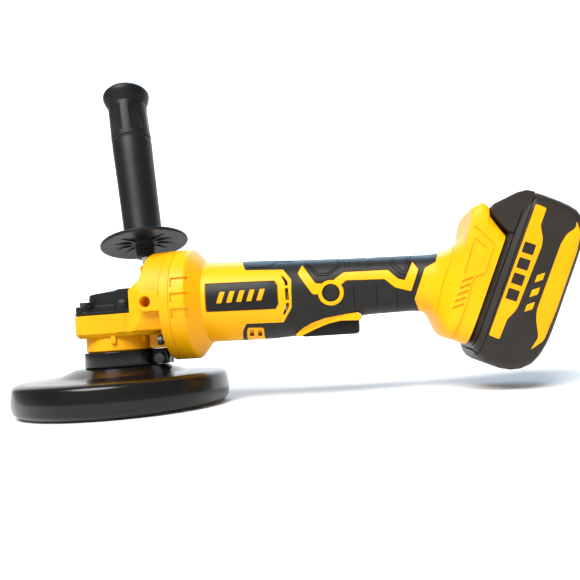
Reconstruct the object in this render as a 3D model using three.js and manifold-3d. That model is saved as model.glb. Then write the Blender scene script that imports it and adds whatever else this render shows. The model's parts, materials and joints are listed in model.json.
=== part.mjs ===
// Cordless angle grinder for 125 mm discs, built as separate pieces.
// Millimetres. +Z points up along the spindle, +X runs from the gear head to the battery.
// The origin is the centre of the spindle's lower end face.
import * as THREE from 'three';
import { mergeVertices } from 'three/addons/utils/BufferGeometryUtils.js';
import Module from 'manifold-3d';

// Driving dimensions
const GAP = 0.3; // clearance between pieces that touch
const MOTOR_Z = 64.3; // height of the rotor axis above the spindle nose
const HEAD_HALF = 25.5; // half width of the square gear head
const HEAD_CORNER = 16;
const HEAD_BOTTOM = 48.5;
const HEAD_TOP = 60.7; // joint between gear housing and gear cover
const HEAD_BACK = 16.6; // where the gear cover ends and the shoulder starts
const COVER_TOP = 77.5;
const COLLAR_R = 36.6;
const COLLAR_FRONT = 39.1;
const COLLAR_SPLIT = 45.4; // joint between gear housing and motor housing
const COLLAR_BACK = 55.4;
const BARREL_START = 63.9;
const BARREL_R = 26.6;
const WALL = 2;
const RUBBER = 1.6; // thickness of the overmould
const NECK_R = 22.8;
const NECK_LOW_R = 20.4; // the guard turns on this part of the neck
const NECK_STEP = 36.6;
const NECK_BOTTOM = 21.5;
const GUARD_R = 71.5;
const GUARD_BOTTOM = -2;
const GUARD_TOP = 19.4;
const GUARD_OPEN_Y = 24; // the guard is cut away behind this line
const LUG_END = 35; // reach of the guard clamp's lugs
const SPINDLE_R = 7; // M14 thread
const DISC_SEAT = 8.6; // lower face of the inner flange
const DISC_GAP = 3.2;
const FLANGE_R = 20;
const CROWN_TEETH = 21;
const PINION_TEETH = 6;
const CROWN_R = 20.4; // outer pitch radius
const TOOTH_SCALE = 0.72; // inner end of a tooth, as a share of its outer end
const LOCK_X = 4.5;
const LOCK_Y = 11.1;
const LOCK_FLOOR = 70.4; // bottom of the lock button's pocket
const SIDE_HOLE_X = 30.6;
const SIDE_HOLE_Z = 66.3;
const SIDE_FACE = 36; // side-handle bosses end this far from the middle plane
const BOSS_R = 6.6;
const THREAD_HOLE_R = 3.5; // M8
const SIDE_HOLE_DEPTH = 12;
const STUD_R = 3.2;
const HANDLE_FOOT = new THREE.Vector3(20.6, 2, 95.7); // where the stud enters the housing
const HANDLE_FORWARD = 7.6; // degrees that the side handle leans to the front
const HANDLE_ASIDE = 10.5; // degrees that it leans to the far side
const FLANGE_FACE = 12; // the hand guard's lower face, measured along the stud
const HUB_END = 3; // lower end of the hub below it
const HANDLE_TOP = 133;
const PADDLE_HALF = 13.2;
const PADDLE_PIN = new THREE.Vector3(129.5, 0, 47);
const BATTERY_TILT = 23.5; // degrees that the battery rail leans from the vertical
const BATTERY_HALF = 37.5;
const SEAT = 196; // rail plane, measured along the tilted outward direction
const CELL_R = 8.8;
const CELL_PITCH = 17.7;
const FIRST_CELL = 125.8;

const RATIO = CROWN_TEETH / PINION_TEETH;
const rad = THREE.MathUtils.degToRad;

const wasm = await Module();
wasm.setup();

// Finishes

const finish = (color, roughness, metalness) => new THREE.MeshStandardMaterial({ color, roughness, metalness });
const YELLOW = finish(0xf6c400, 0.38, 0);
const YELLOW_CAST = finish(0xf2bf00, 0.42, 0.1);
const BLACK_PLASTIC = finish(0x1d1f22, 0.45, 0);
const BLACK_RUBBER = finish(0x26292d, 0.75, 0);
const BLACK_PAINT = finish(0x101012, 0.22, 0.4);
const BATTERY_PLASTIC = finish(0x3a3836, 0.5, 0);
const STEEL = finish(0xb4b6ba, 0.35, 1);
const DARK_STEEL = finish(0x55575b, 0.45, 1);
const COPPER = finish(0xb86a34, 0.4, 0.9);
const CELL_WRAP = finish(0x2f7d5b, 0.4, 0);
const BOARD = finish(0x1d5a33, 0.5, 0);

// Solids

function solid(geometry) {
  const bare = geometry.clone();
  bare.deleteAttribute('normal');
  bare.deleteAttribute('uv');
  const merged = mergeVertices(bare, 1e-4);
  const corners = merged.attributes.position;
  const at = (i) => new THREE.Vector3().fromBufferAttribute(corners, i);
  const faces = [];
  let volume = 0;
  for (let i = 0; i < merged.index.count; i += 3) {
    const [a, b, c] = [0, 1, 2].map((k) => merged.index.getX(i + k));
    if (a === b || b === c || c === a) continue;
    faces.push([a, b, c]);
    volume += at(a).dot(at(b).cross(at(c)));
  }
  const triVerts = new Uint32Array(faces.flatMap((face) => (volume < 0 ? face.reverse() : face)));
  const vertProperties = new Float32Array(corners.array);
  return new wasm.Manifold(new wasm.Mesh({ numProp: 3, vertProperties, triVerts }));
}

function geometryOf(shape) {
  const mesh = shape.getMesh();
  const geometry = new THREE.BufferGeometry();
  geometry.setAttribute('position', new THREE.BufferAttribute(mesh.vertProperties, 3));
  geometry.setIndex(new THREE.BufferAttribute(mesh.triVerts, 1));
  geometry.computeVertexNormals();
  return geometry;
}

// A solid moved or scaled by a matrix.
const placed = (shape, matrix) => solid(geometryOf(shape).applyMatrix4(matrix));
const moved = (shape, x, y, z) => placed(shape, new THREE.Matrix4().makeTranslation(x, y, z));

const join = (...shapes) => shapes.reduce((a, b) => a.add(b));
const cut = (shape, ...tools) => tools.reduce((a, b) => a.subtract(b), shape);
const common = (...shapes) => shapes.reduce((a, b) => a.intersect(b));

function outline(points) {
  return new THREE.Shape(points.map(([x, y]) => new THREE.Vector2(x, y)));
}

function extruded(shape, depth) {
  return new THREE.ExtrudeGeometry(shape, { depth, bevelEnabled: false, curveSegments: 5 });
}

// An outline in X and Z, carried along Y.
function prism(points, y0, y1) {
  return solid(extruded(outline(points), y1 - y0).rotateX(Math.PI / 2).translate(0, y1, 0));
}

// An outline in X and Y, carried along Z.
function slab(shape, z0, z1) {
  return solid(extruded(shape, z1 - z0).translate(0, 0, z0));
}

function box(x0, x1, y0, y1, z0, z1) {
  const geometry = new THREE.BoxGeometry(x1 - x0, y1 - y0, z1 - z0);
  return solid(geometry.translate((x0 + x1) / 2, (y0 + y1) / 2, (z0 + z1) / 2));
}

function lathe(profile, segments) {
  return new THREE.LatheGeometry(profile.map(([r, h]) => new THREE.Vector2(r, h)), segments);
}

// Profiles are [radius, height] around the spindle, or [radius, x] around the rotor axis.
const turned = (profile, segments = 28) => solid(lathe(profile, segments).rotateX(Math.PI / 2));
const turnedX = (profile, segments = 28) =>
  solid(lathe(profile, segments).rotateZ(-Math.PI / 2).rotateX(Math.PI / 2).translate(0, 0, MOTOR_Z));
const bar = (r, h0, h1) => [[0, h0], [r, h0], [r, h1], [0, h1]];
const ring = (r0, r1, h0, h1) => [[r0, h0], [r1, h0], [r1, h1], [r0, h1], [r0, h0]];

function rod(x, y, z, axis, r, length, segments = 16) {
  const geometry = new THREE.CylinderGeometry(r, r, length, segments);
  const turn = new THREE.Quaternion().setFromUnitVectors(new THREE.Vector3(0, 1, 0), axis);
  const middle = new THREE.Vector3(x, y, z).addScaledVector(axis, length / 2);
  return solid(geometry.applyQuaternion(turn).translate(middle.x, middle.y, middle.z));
}

const X = new THREE.Vector3(1, 0, 0);
const Y = new THREE.Vector3(0, 1, 0);
const Z = new THREE.Vector3(0, 0, 1);

function roundedRect(x0, x1, y0, y1, r) {
  const shape = new THREE.Shape();
  shape.moveTo(x0 + r, y0);
  shape.lineTo(x1 - r, y0);
  shape.absarc(x1 - r, y0 + r, r, -Math.PI / 2, 0);
  shape.absarc(x1 - r, y1 - r, r, 0, Math.PI / 2);
  shape.absarc(x0 + r, y1 - r, r, Math.PI / 2, Math.PI);
  shape.absarc(x0 + r, y0 + r, r, Math.PI, 1.5 * Math.PI);
  return shape;
}

// A body through closed rings of points that all have the same count.
function loft(rings) {
  const count = rings[0].length;
  const middle = (points) => points.reduce((a, b) => a.clone().add(b)).divideScalar(count);
  const points = [...rings.flat(), middle(rings[0]), middle(rings.at(-1))];
  const index = [];
  for (let i = 0; i < count; i++) {
    const j = (i + 1) % count;
    for (let k = 0; k < rings.length - 1; k++) {
      const a = k * count;
      const b = a + count;
      index.push(a + i, a + j, b + j, a + i, b + j, b + i);
    }
    const last = (rings.length - 1) * count;
    index.push(points.length - 2, j, i, points.length - 1, last + i, last + j);
  }
  const geometry = new THREE.BufferGeometry().setFromPoints(points);
  geometry.setIndex(index);
  return solid(geometry);
}

// What is left of an outline's prism when every side moves in by a small step.
function shrunk(points, step) {
  const reach = 60;
  const shifts = [[0, 0], [step, 0], [-step, 0], [0, step], [0, -step]];
  return common(...shifts.map(([x, z]) => moved(prism(points, -reach, reach), x, 0, z)));
}

const grinder = new THREE.Group();

function add(name, shape, material, parent = grinder) {
  const mesh = new THREE.Mesh(geometryOf(shape), material);
  mesh.name = name;
  parent.add(mesh);
}

// Gear head

const headScrews = [[-16.3, -18.6], [-16.3, 18.6], [10.7, -20.6], [10.7, 20.6]];

// Screws that hold the gear housing to the motor housing, from the rotor axis.
const collarScrews = [[-14, 28.3], [14, 28.3], [-22.3, -22.3], [22.3, -22.3]];

const SHOULDER = [
  [HEAD_BACK + GAP, HEAD_BOTTOM], [HEAD_BACK + GAP, 75.6], [20.5, 77.5], [24, 81], [25.6, 86.5], [26, 92.3],
  [26.8, 96.8], [28.7, 99.6], [31, 100.7], [COLLAR_FRONT, 100.7], [COLLAR_FRONT, HEAD_BOTTOM],
];
const SHOULDER_SLIMNESS = 0.86; // the shoulder is narrower than the round collar behind it

const HEAD_PLAN = [
  [-30, -HEAD_HALF], [12, -HEAD_HALF], [26, -31.5], [COLLAR_FRONT, -31.5], [COLLAR_FRONT, 31.5], [26, 31.5],
  [12, HEAD_HALF], [-30, HEAD_HALF],
];

function gearHousing() {
  const plan = slab(outline(HEAD_PLAN), 20, 110);
  const slimmer = new THREE.Matrix4().makeScale(1, SHOULDER_SLIMNESS, 1);
  const limit = placed(turnedX(bar(COLLAR_R, -40, COLLAR_FRONT)), slimmer);
  const shoulder = common(prism(SHOULDER, -50, 50), plan, limit);
  const front = slab(roundedRect(-HEAD_HALF, 34, -HEAD_HALF, HEAD_HALF, HEAD_CORNER), HEAD_BOTTOM, HEAD_TOP);
  const lugs = headScrews.map(([x, y]) => rod(x, y, HEAD_BOTTOM, Z, 6, HEAD_TOP - HEAD_BOTTOM));
  const collar = turnedX(bar(COLLAR_R, COLLAR_FRONT, COLLAR_SPLIT), 36);
  const sideBosses = join(
    rod(SIDE_HOLE_X, -SIDE_FACE, SIDE_HOLE_Z, Y, BOSS_R, 2 * SIDE_FACE, 20),
    box(SIDE_HOLE_X, COLLAR_FRONT, -SIDE_FACE, SIDE_FACE, SIDE_HOLE_Z - BOSS_R, SIDE_HOLE_Z + BOSS_R),
  );
  const topBoss = alongHandle(solidBar(5.8, -18, -3));
  const web = prism([[24.8, 49], [24.8, 45.6], [COLLAR_FRONT, 38.4], [COLLAR_FRONT, 49]], -14, 14);
  const outside = join(shoulder, front, ...lugs, collar, sideBosses, topBoss, web);
  const gearRoom = turned(bar(22, HEAD_BOTTOM + 3.8, HEAD_TOP + 1));
  const neckHole = turned(bar(13.7, HEAD_BOTTOM - 1, HEAD_BOTTOM + 4));
  const pinionRoom = turnedX(bar(10.6, 0, 24));
  const bearingRoom = turnedX(bar(11.3, 23, 34));
  const fanRoom = turnedX([[0, 33], [20, 33], [27.2, 40], [27.2, COLLAR_SPLIT + 1], [0, COLLAR_SPLIT + 1]]);
  const coverSide = box(-30, HEAD_BACK + GAP, -40, 40, HEAD_TOP, 110);
  const sideHoles = join(
    rod(SIDE_HOLE_X, -SIDE_FACE - 1, SIDE_HOLE_Z, Y, THREAD_HOLE_R, SIDE_HOLE_DEPTH + 1, 20),
    rod(SIDE_HOLE_X, SIDE_FACE - SIDE_HOLE_DEPTH, SIDE_HOLE_Z, Y, THREAD_HOLE_R, SIDE_HOLE_DEPTH + 1, 20),
  );
  const topHole = alongHandle(solidBar(THREAD_HOLE_R, -15, 10));
  const screwHoles = headScrews.map(([x, y]) => rod(x, y, HEAD_TOP - 8, Z, 2.3, 9, 10));
  const collarHoles = collarScrews.map(([y, z]) => join(
    rod(0, y, MOTOR_Z + z, X, 3.9, 37, 12),
    rod(30, y, MOTOR_Z + z, X, 2.2, 20, 10),
  ));
  return cut(outside, gearRoom, neckHole, pinionRoom, bearingRoom, fanRoom, coverSide, sideHoles, topHole,
    ...screwHoles, ...collarHoles);
}

const UPPER_TIER = [
  [-17.4, 64], [-17.4, 72.6], [-14, 74.6], [3.9, 76.4], [6.2, 77.2], [HEAD_BACK, COVER_TOP], [HEAD_BACK, 64],
];

// One rounded ring of the cover's sloping ledge.
function ledgeRing(front, half, r, z) {
  return roundedRect(-front, 30, -half, half, r).getPoints(5).map((p) => new THREE.Vector3(p.x, p.y, z));
}

function gearCover() {
  const rim = slab(roundedRect(-HEAD_HALF, 30, -HEAD_HALF, HEAD_HALF, HEAD_CORNER), HEAD_TOP + GAP, 62.6);
  const ledge = loft([ledgeRing(HEAD_HALF, HEAD_HALF, HEAD_CORNER, 62.5), ledgeRing(18, 17.6, 11, 66.6)]);
  const bosses = headScrews.map(([x, y]) => rod(x, y, HEAD_TOP + GAP, Z, 6, 66.9 - HEAD_TOP - GAP));
  const tier = common(prism(UPPER_TIER, -17, 17), slab(roundedRect(-17.4, 40, -17, 17, 11), 60, 90));
  const outside = common(join(rim, ledge, ...bosses, tier), box(-40, HEAD_BACK, -40, 40, HEAD_TOP + GAP, 90));
  const gearRoom = turned([[0, 60], [21, 60], [21, 61.4], [14.6, 64], [14.6, 66], [0, 66]]);
  const pinionRoom = turnedX(bar(7.6, 8.5, HEAD_BACK + 1), 20);
  const bearingRoom = turned(bar(7.2, 60, 73.8), 24);
  const screws = headScrews.map(([x, y]) => rod(x, y, HEAD_TOP, Z, 2.3, 8, 12));
  const button = rod(LOCK_X, LOCK_Y, LOCK_FLOOR, Z, 4.8, 12, 20);
  const pin = rod(LOCK_X, LOCK_Y, 60, Z, 2.4, 20, 12);
  return cut(outside, gearRoom, pinionRoom, bearingRoom, ...screws, button, pin);
}

// A cap screw with a hexagon socket, standing on its point at z.
function capScrew(x, y, z, length, headR, headHeight) {
  const shank = rod(x, y, z, Z, 1.9, length, 10);
  const head = rod(x, y, z + length, Z, headR, headHeight, 16);
  const socket = rod(x, y, z + length + headHeight - 1.6, Z, 1.4, 2, 6);
  return cut(join(shank, head), socket);
}

function neck() {
  const profile = [
    [NECK_LOW_R, NECK_BOTTOM], [NECK_LOW_R, NECK_STEP], [NECK_R, NECK_STEP], [NECK_R, HEAD_BOTTOM - GAP],
    [16.2, HEAD_BOTTOM - GAP], [16.2, 24.3], [9.5, 24.3], [9.5, NECK_BOTTOM], [NECK_LOW_R, NECK_BOTTOM],
  ];
  const tab = box(21, 24.4, -2.2, 2.2, 41.4, HEAD_BOTTOM - GAP);
  return join(turned(profile, 32), ...[-80, -28, 100, 152].map((angle) =>
    placed(tab, new THREE.Matrix4().makeRotationZ(rad(angle)))));
}

function gearHead() {
  add('gear_housing', gearHousing(), YELLOW_CAST);
  add('gear_cover', gearCover(), BLACK_PLASTIC);
  headScrews.forEach(([x, y], i) => {
    add(`cover_screw_${i + 1}`, capScrew(x, y, HEAD_TOP - 6, 6 + 6.2 + GAP, 3.4, 2.4), DARK_STEEL);
  });
  add('spindle_neck', neck(), YELLOW_CAST);
  add('spindle_bearing', turned(ring(7.5, 15.9, 24.6, 33.6), 24), STEEL);
  add('bearing_retainer', turned(ring(9.5, 15.9, 34, 37), 24), DARK_STEEL);
  add('spindle_top_bearing', turned(ring(5, 6.9, 66.2, 73.4), 16), STEEL);
  add('motor_bearing_front', turnedX(ring(4.15, 11, 24.6, 31.6), 20), STEEL);
}

// Spindle lock

function lockButton() {
  const cap = rod(LOCK_X, LOCK_Y, 74.4, Z, 4.4, 4, 20);
  const pin = rod(LOCK_X, LOCK_Y, 60.2, Z, 2, 15, 12);
  return join(cap, pin);
}

// The path of a spring's wire, wound upwards.
class Helix extends THREE.Curve {
  constructor(r, height, turns) {
    super();
    Object.assign(this, { r, height, turns });
  }

  getPoint(t) {
    const angle = 2 * Math.PI * this.turns * t;
    return new THREE.Vector3(this.r * Math.cos(angle), this.r * Math.sin(angle), this.height * t);
  }
}

function spring(r, wire, height, turns) {
  const section = outline([[-wire, -wire], [wire, -wire], [wire, wire], [-wire, wire]]);
  const options = { steps: turns * 8, extrudePath: new Helix(r, height, turns), bevelEnabled: false };
  return solid(new THREE.ExtrudeGeometry(section, options));
}

// Guard and its clamp

const GUARD_PROFILE = [
  [20.8, 35.5], [22, 35.5], [22, 25.8], [30, 25.8], [43, 20.6], [66, GUARD_TOP], [69.8, 17.2],
  [GUARD_R, 7], [70.4, 3], [67.6, -0.6], [63.2, GUARD_BOTTOM], [63, -0.2], [66.4, 1.2],
  [68.7, 4], [69.5, 7], [68, 16], [66, 17.4], [43, 18.6], [30, 23.8], [20.8, 23.8], [20.8, 35.5],
];

function guardShell() {
  const bowl = turned(GUARD_PROFILE, 40);
  const away = cut(box(-90, 90, GUARD_OPEN_Y, 90, -10, 22.5), turned(bar(45.5, -12, 24)));
  return cut(bowl, away);
}

function guardBand() {
  const band = turned(ring(22.3, 23.9, 26.2, 36.2), 32);
  const lugs = box(22.6, LUG_END, -7, 7, 26.2, 36.2);
  const gap = box(18, LUG_END + 1, -1.2, 1.2, 20, 40);
  const screwHole = rod(29.5, -10, 29.8, Y, 2.3, 20, 12);
  return cut(join(band, cut(lugs, turned(bar(22.3, 20, 40), 32))), gap, screwHole);
}

function guard() {
  add('guard_shell', guardShell(), BLACK_PAINT);
  add('guard_band', guardBand(), BLACK_PAINT);
  const head = rod(29.5, -10.2, 29.8, Y, 3.4, 2.9, 16);
  add('guard_screw', join(head, rod(29.5, -7.4, 29.8, Y, 2, 18.4, 12)), DARK_STEEL);
  add('guard_nut', cut(rod(29.5, 7.3, 29.8, Y, 3.6, 3, 6), rod(29.5, 7, 29.8, Y, 2.15, 5, 12)), DARK_STEEL);
}

// Spindle and crown gear. The tooth flanks all run to the point where the two shafts would cross.

const APEX = new THREE.Vector3(0, 0, MOTOR_Z);
const PINION_R = CROWN_R / RATIO;
const CROWN_PITCH_Z = MOTOR_Z - PINION_R;
const TOOTH_TIP = 1.3; // addendum at the outer end
const TOOTH_ROOT = 1.75;

function towardsApex(points) {
  return [...points, ...points.map((p) => p.clone().sub(APEX).multiplyScalar(TOOTH_SCALE).add(APEX))];
}

function hexahedron(points) {
  const geometry = new THREE.BufferGeometry().setFromPoints(points);
  const sides = [0, 1, 2, 3].flatMap((i) => {
    const j = (i + 1) % 4;
    return [i, j, j + 4, i, j + 4, i + 4];
  });
  geometry.setIndex([...sides, 0, 2, 1, 0, 3, 2, 4, 5, 6, 4, 6, 7]);
  return solid(geometry);
}

function crownTooth(angle) {
  const pitch = (2 * Math.PI) / CROWN_TEETH;
  const corner = (share, z) => {
    const a = angle + share * pitch;
    return new THREE.Vector3(CROWN_R * Math.cos(a), CROWN_R * Math.sin(a), z);
  };
  const low = CROWN_PITCH_Z - TOOTH_ROOT - 0.6;
  const high = CROWN_PITCH_Z + TOOTH_TIP - 0.15;
  return hexahedron(towardsApex([corner(-0.3, low), corner(0.3, low), corner(0.1, high), corner(-0.1, high)]));
}

function crownGear() {
  const rootOut = CROWN_PITCH_Z - TOOTH_ROOT;
  const rootIn = MOTOR_Z - (MOTOR_Z - rootOut) * TOOTH_SCALE;
  const inner = CROWN_R * TOOTH_SCALE;
  const blank = turned([
    [6.5, 53], [CROWN_R, 53], [CROWN_R, rootOut], [inner, rootIn], [inner - 0.6, rootIn], [6.5, rootIn], [6.5, 53],
  ], CROWN_TEETH);
  const teeth = Array.from({ length: CROWN_TEETH }, (_, i) => crownTooth(((i + 0.5) * 2 * Math.PI) / CROWN_TEETH));
  const lockR = Math.hypot(LOCK_X, LOCK_Y);
  const lockAngle = Math.atan2(LOCK_Y, LOCK_X);
  const holes = [0, 1, 2, 3].map((i) => {
    const a = lockAngle + (i * Math.PI) / 2;
    return rod(lockR * Math.cos(a), lockR * Math.sin(a), 50, Z, 2.4, 20, 8);
  });
  return cut(join(blank, ...teeth), ...holes);
}

function pinion() {
  const reach = CROWN_R;
  const tooth = (turn) => {
    const pitch = (2 * Math.PI) / PINION_TEETH;
    const corner = (share, r) => {
      const a = turn + share * pitch;
      return new THREE.Vector3(reach, r * Math.sin(a), MOTOR_Z - r * Math.cos(a));
    };
    const root = PINION_R - TOOTH_ROOT - 0.2;
    const tip = PINION_R + TOOTH_TIP;
    return hexahedron(towardsApex([corner(-0.3, root), corner(0.3, root), corner(0.08, tip), corner(-0.08, tip)]));
  };
  const root = PINION_R - TOOTH_ROOT;
  const inner = reach * TOOTH_SCALE;
  const bore = 2.5;
  const cone = [[bore, inner], [root * TOOTH_SCALE, inner], [root, reach], [bore, reach], [bore, inner]];
  const teeth = Array.from({ length: PINION_TEETH }, (_, i) => tooth((i * 2 * Math.PI) / PINION_TEETH));
  return cut(join(turnedX(cone, 20), ...teeth), turnedX(bar(bore, 0, 40), 16));
}

function spindle() {
  const profile = [
    [0, 0], [SPINDLE_R, 0], [SPINDLE_R, 14.2], [8.8, 14.2], [8.8, 24], [7.3, 24], [7.3, 52.6], [6.2, 52.6],
    [6.2, 62], [4.8, 62], [4.8, 73], [0, 73],
  ];
  add('spindle', turned(profile, 24), STEEL);
  const flange = [
    [SPINDLE_R + 0.2, 13.9], [12, 13.9], [FLANGE_R, 12], [FLANGE_R, DISC_SEAT], [11, DISC_SEAT], [11, 7],
    [SPINDLE_R + 0.2, 7], [SPINDLE_R + 0.2, 13.9],
  ];
  add('inner_flange', turned(flange), STEEL);
  const top = DISC_SEAT - DISC_GAP;
  const nut = turned(ring(SPINDLE_R + 0.2, 18.5, 1.2, top));
  const wrenchHoles = [-15, 15].map((y) => rod(0, y, 0, Z, 2.5, 10, 12));
  add('outer_nut', cut(nut, ...wrenchHoles), DARK_STEEL);
  add('crown_gear', crownGear(), DARK_STEEL);
}

// Motor

const FAN_R = 26;
const FAN_BLADES = 7;

function rotor() {
  const shaft = [
    [0, 12.6], [2.3, 12.6], [2.3, 22.6], [4, 22.6], [4, 109], [3, 109], [3, 116], [0, 116],
  ];
  add('rotor_shaft', turnedX(shaft, 20), STEEL);
  add('pinion', pinion(), DARK_STEEL);
  add('rotor_core', turnedX(ring(4.2, 11.6, 67, 100), 24), DARK_STEEL);
  const hub = turnedX(ring(4.2, 9, 46, 53.4), 24);
  const plate = turnedX(ring(4.2, FAN_R, 46, 47.4));
  const blades = Array.from({ length: FAN_BLADES }, (_, i) => {
    const turn = new THREE.Matrix4().makeRotationX((i * 2 * Math.PI) / FAN_BLADES);
    return moved(placed(box(47, 53, -0.9, 0.9, 8.6, FAN_R), turn), 0, 0, MOTOR_Z);
  });
  add('fan', join(hub, plate, ...blades), BLACK_PLASTIC);
}

function stator() {
  add('stator_core', turnedX(ring(12.3, 20.9, 66, 101)), DARK_STEEL);
  add('stator_winding_front', turnedX(ring(13.6, 19.4, 61.6, 65.7), 24), COPPER);
  add('stator_winding_rear', turnedX(ring(13.6, 19.4, 101.3, 105.4), 24), COPPER);
  add('fan_baffle', turnedX(ring(17, 26.5, 54.4, 55.6)), BLACK_PLASTIC);
  add('motor_bearing_rear', turnedX(ring(3.15, 9.4, 109.6, 115), 24), STEEL);
}

// Motor housing, handle and battery foot: one flowing body in two halves.

const tilt = rad(BATTERY_TILT);
// From the rail's own directions (u up along the rail, v outwards) to X and Z.
const fromRail = (u, v) => [u * Math.sin(tilt) + v * Math.cos(tilt), u * Math.cos(tilt) - v * Math.sin(tilt)];

// Sections of the body: top point, bottom point, half width, and squareness of the upper and lower half.
const SECTIONS = [
  { top: [BARREL_START, 91.1], low: [BARREL_START, 37.9], half: BARREL_R, power: [2, 2] },
  { top: [106, 89.4], low: [106, 37.4], half: 26, power: [2, 2.1] },
  { top: [118, 88.5], low: [118, 38], half: 24.3, power: [2.1, 2.6] },
  { top: [126, 88], low: [125, 38.3], half: 22.8, power: [2.2, 3.4] },
  { top: [152, 86.7], low: [152, 46.3], half: 20.3, power: [2.4, 4] },
  { top: [168, 86], low: [168, 48.9], half: 20, power: [2.4, 3] },
  { top: [199, 85], low: [198, 49.2], half: 20.5, power: [2.4, 2.6] },
  { top: [207, 84.5], low: [203.8, 48.2], half: 22.2, power: [2.5, 2.6] },
  { top: [214.5, 84.8], low: [206.6, 44], half: 24.5, power: [2.7, 2.7] },
  { top: [219.5, 85.9], low: [208.5, 38.6], half: 27.5, power: [3, 3] },
  { top: [225, 88.4], low: [210.5, 34.2], half: 30.5, power: [3.4, 3.4] },
  { top: [230.3, 93.2], low: [212.8, 32.3], half: 32.5, power: [4, 4.4] },
  { top: [233.2, 100.6], low: [215.4, 30.7], half: 33.5, power: [5, 5.5] },
  { top: [234.9, 109.2], low: [218.8, 29.5], half: 34, power: [9, 6] },
  { top: [241.6, 112], low: [220.7, 28.9], half: 34.4, power: [10, 6] },
  { top: [245.5, 108.3], low: [222.4, 28.3], half: 34.6, power: [8, 6] },
  { top: [244.8, 103.5], low: [224, 27.4], half: 34.6, power: [7, 6] },
  { top: [248.5, 97.1], low: fromRail(114.3, 195), half: 34.6, power: [7, 6] },
  { top: fromRail(183.8, SEAT), low: fromRail(114.2, SEAT), half: 34.6, power: [7, 6] },
];

function sectionRing({ top, low, half, power }, inset) {
  const middle = new THREE.Vector3((top[0] + low[0]) / 2, 0, (top[1] + low[1]) / 2);
  const up = new THREE.Vector3((top[0] - low[0]) / 2, 0, (top[1] - low[1]) / 2);
  up.setLength(up.length() - inset);
  const count = 20;
  return Array.from({ length: count }, (_, i) => {
    const a = (2 * Math.PI * i) / count;
    const squareness = Math.cos(a) > 0 ? power[0] : power[1];
    const bulge = (value) => Math.sign(value) * Math.abs(value) ** (2 / squareness);
    const side = (half - inset) * bulge(Math.sin(a));
    return middle.clone().addScaledVector(up, bulge(Math.cos(a))).addScaledVector(Y, side);
  });
}

function bodyForm(inset) {
  const back = COLLAR_BACK - inset / 2;
  const start = BARREL_START - 4;
  const collar = turnedX([
    [0, COLLAR_SPLIT + GAP], [COLLAR_R - inset, COLLAR_SPLIT + GAP], [COLLAR_R - inset, back],
    [BARREL_R - inset, BARREL_START - inset / 2], [BARREL_R - inset - 2, BARREL_START + 3], [0, BARREL_START + 3],
  ], 36);
  const stub = { ...SECTIONS[0], top: [start, 91.1], low: [start, 37.9] };
  const rings = [stub, ...SECTIONS].map((section) => sectionRing(section, inset));
  return join(collar, loft(rings));
}

const RUBBER_EDGE = [
  [89.4, 100], [89.4, 88.3], [92.4, 82.6], [116.8, 81.1], [122, 74], [121.2, 56.4], [115.3, 47.6], [90.7, 48.2],
  [87.4, 38], [87.4, 30], [121, 30], [121.8, 39], [126.1, 42.7], [132.9, 46], [141.3, 48.4],
  [162, 50.4], [165, 30], [200.4, 30], [200.4, 49.4], [199.6, 50.6], [197.5, 56.3], [205, 74.9],
  [211.9, 78.1], [214.3, 84], [214.3, 100],
];
const PLATE_EDGE = [[66.7, 57.4], [111.4, 56.2], [113.5, 59.2], [113.5, 71.6], [111.4, 74.2], [66.7, 75.6]];

// The yellow lip over the paddle.
const LIP = [
  [121.8, 39.2], [126.1, 42.9], [132.9, 46.2], [141.3, 48.6], [152, 50], [162, 50.6], [164.4, 48],
  [162.2, 45.6], [151, 46.2], [142.8, 44.9], [134.4, 41.9], [124.1, 37.7],
];
const LIP_HALF = 16.8;
const PLUG_X = 146.2;
const PLUG_Z = 64;
const SHELL_SCREWS = [[206, 62], [128, 80]];

const FOOT_START = 168;
const FOOT_ROOM = [
  [131, 164], [157, 164], [159, 168], [163, 171.5], [167.5, 175.5], [185, 175.5], [185, 181], [119, 181],
  [122.5, 177], [126, 173], [129, 169],
];

const railPrism = (points, half) => prism(points.map(([u, v]) => fromRail(u, v)), -half, half);

function paddleOpening() {
  return box(124.6, 163.6, -PADDLE_HALF - GAP, PADDLE_HALF + GAP, 30, 56.5);
}

// Room inside the shell: the handle's own, and a narrower one in the foot.
function shellRoom() {
  const beforeFoot = railPrism([[-100, -50], [300, -50], [300, FOOT_START], [-100, FOOT_START]], 60);
  return join(common(bodyForm(RUBBER + GAP + WALL), beforeFoot), railPrism(FOOT_ROOM, 17));
}

// Posts, bearing wall and collar bosses inside the shell.
function housingCore() {
  const cups = [-1, 1].map((side) => rod(PLUG_X, side * 9, PLUG_Z, Y.clone().multiplyScalar(side), 7.4, 10, 20));
  const posts = SHELL_SCREWS.map(([x, z]) => rod(x, -18, z, Y, 4.2, 36, 12));
  const bearingWall = cut(
    turnedX(ring(9.7, 22.5, 109, 115), 24),
    box(100, 120, -30, 30, MOTOR_Z + 14, MOTOR_Z + 40),
  );
  const bosses = collarScrews.map(([y, z]) => rod(COLLAR_SPLIT + GAP, y, MOTOR_Z + z, X, 4.4, 7, 14));
  return common(join(...cups, ...posts, bearingWall, ...bosses), bodyForm(RUBBER + GAP + 0.5));
}

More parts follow.
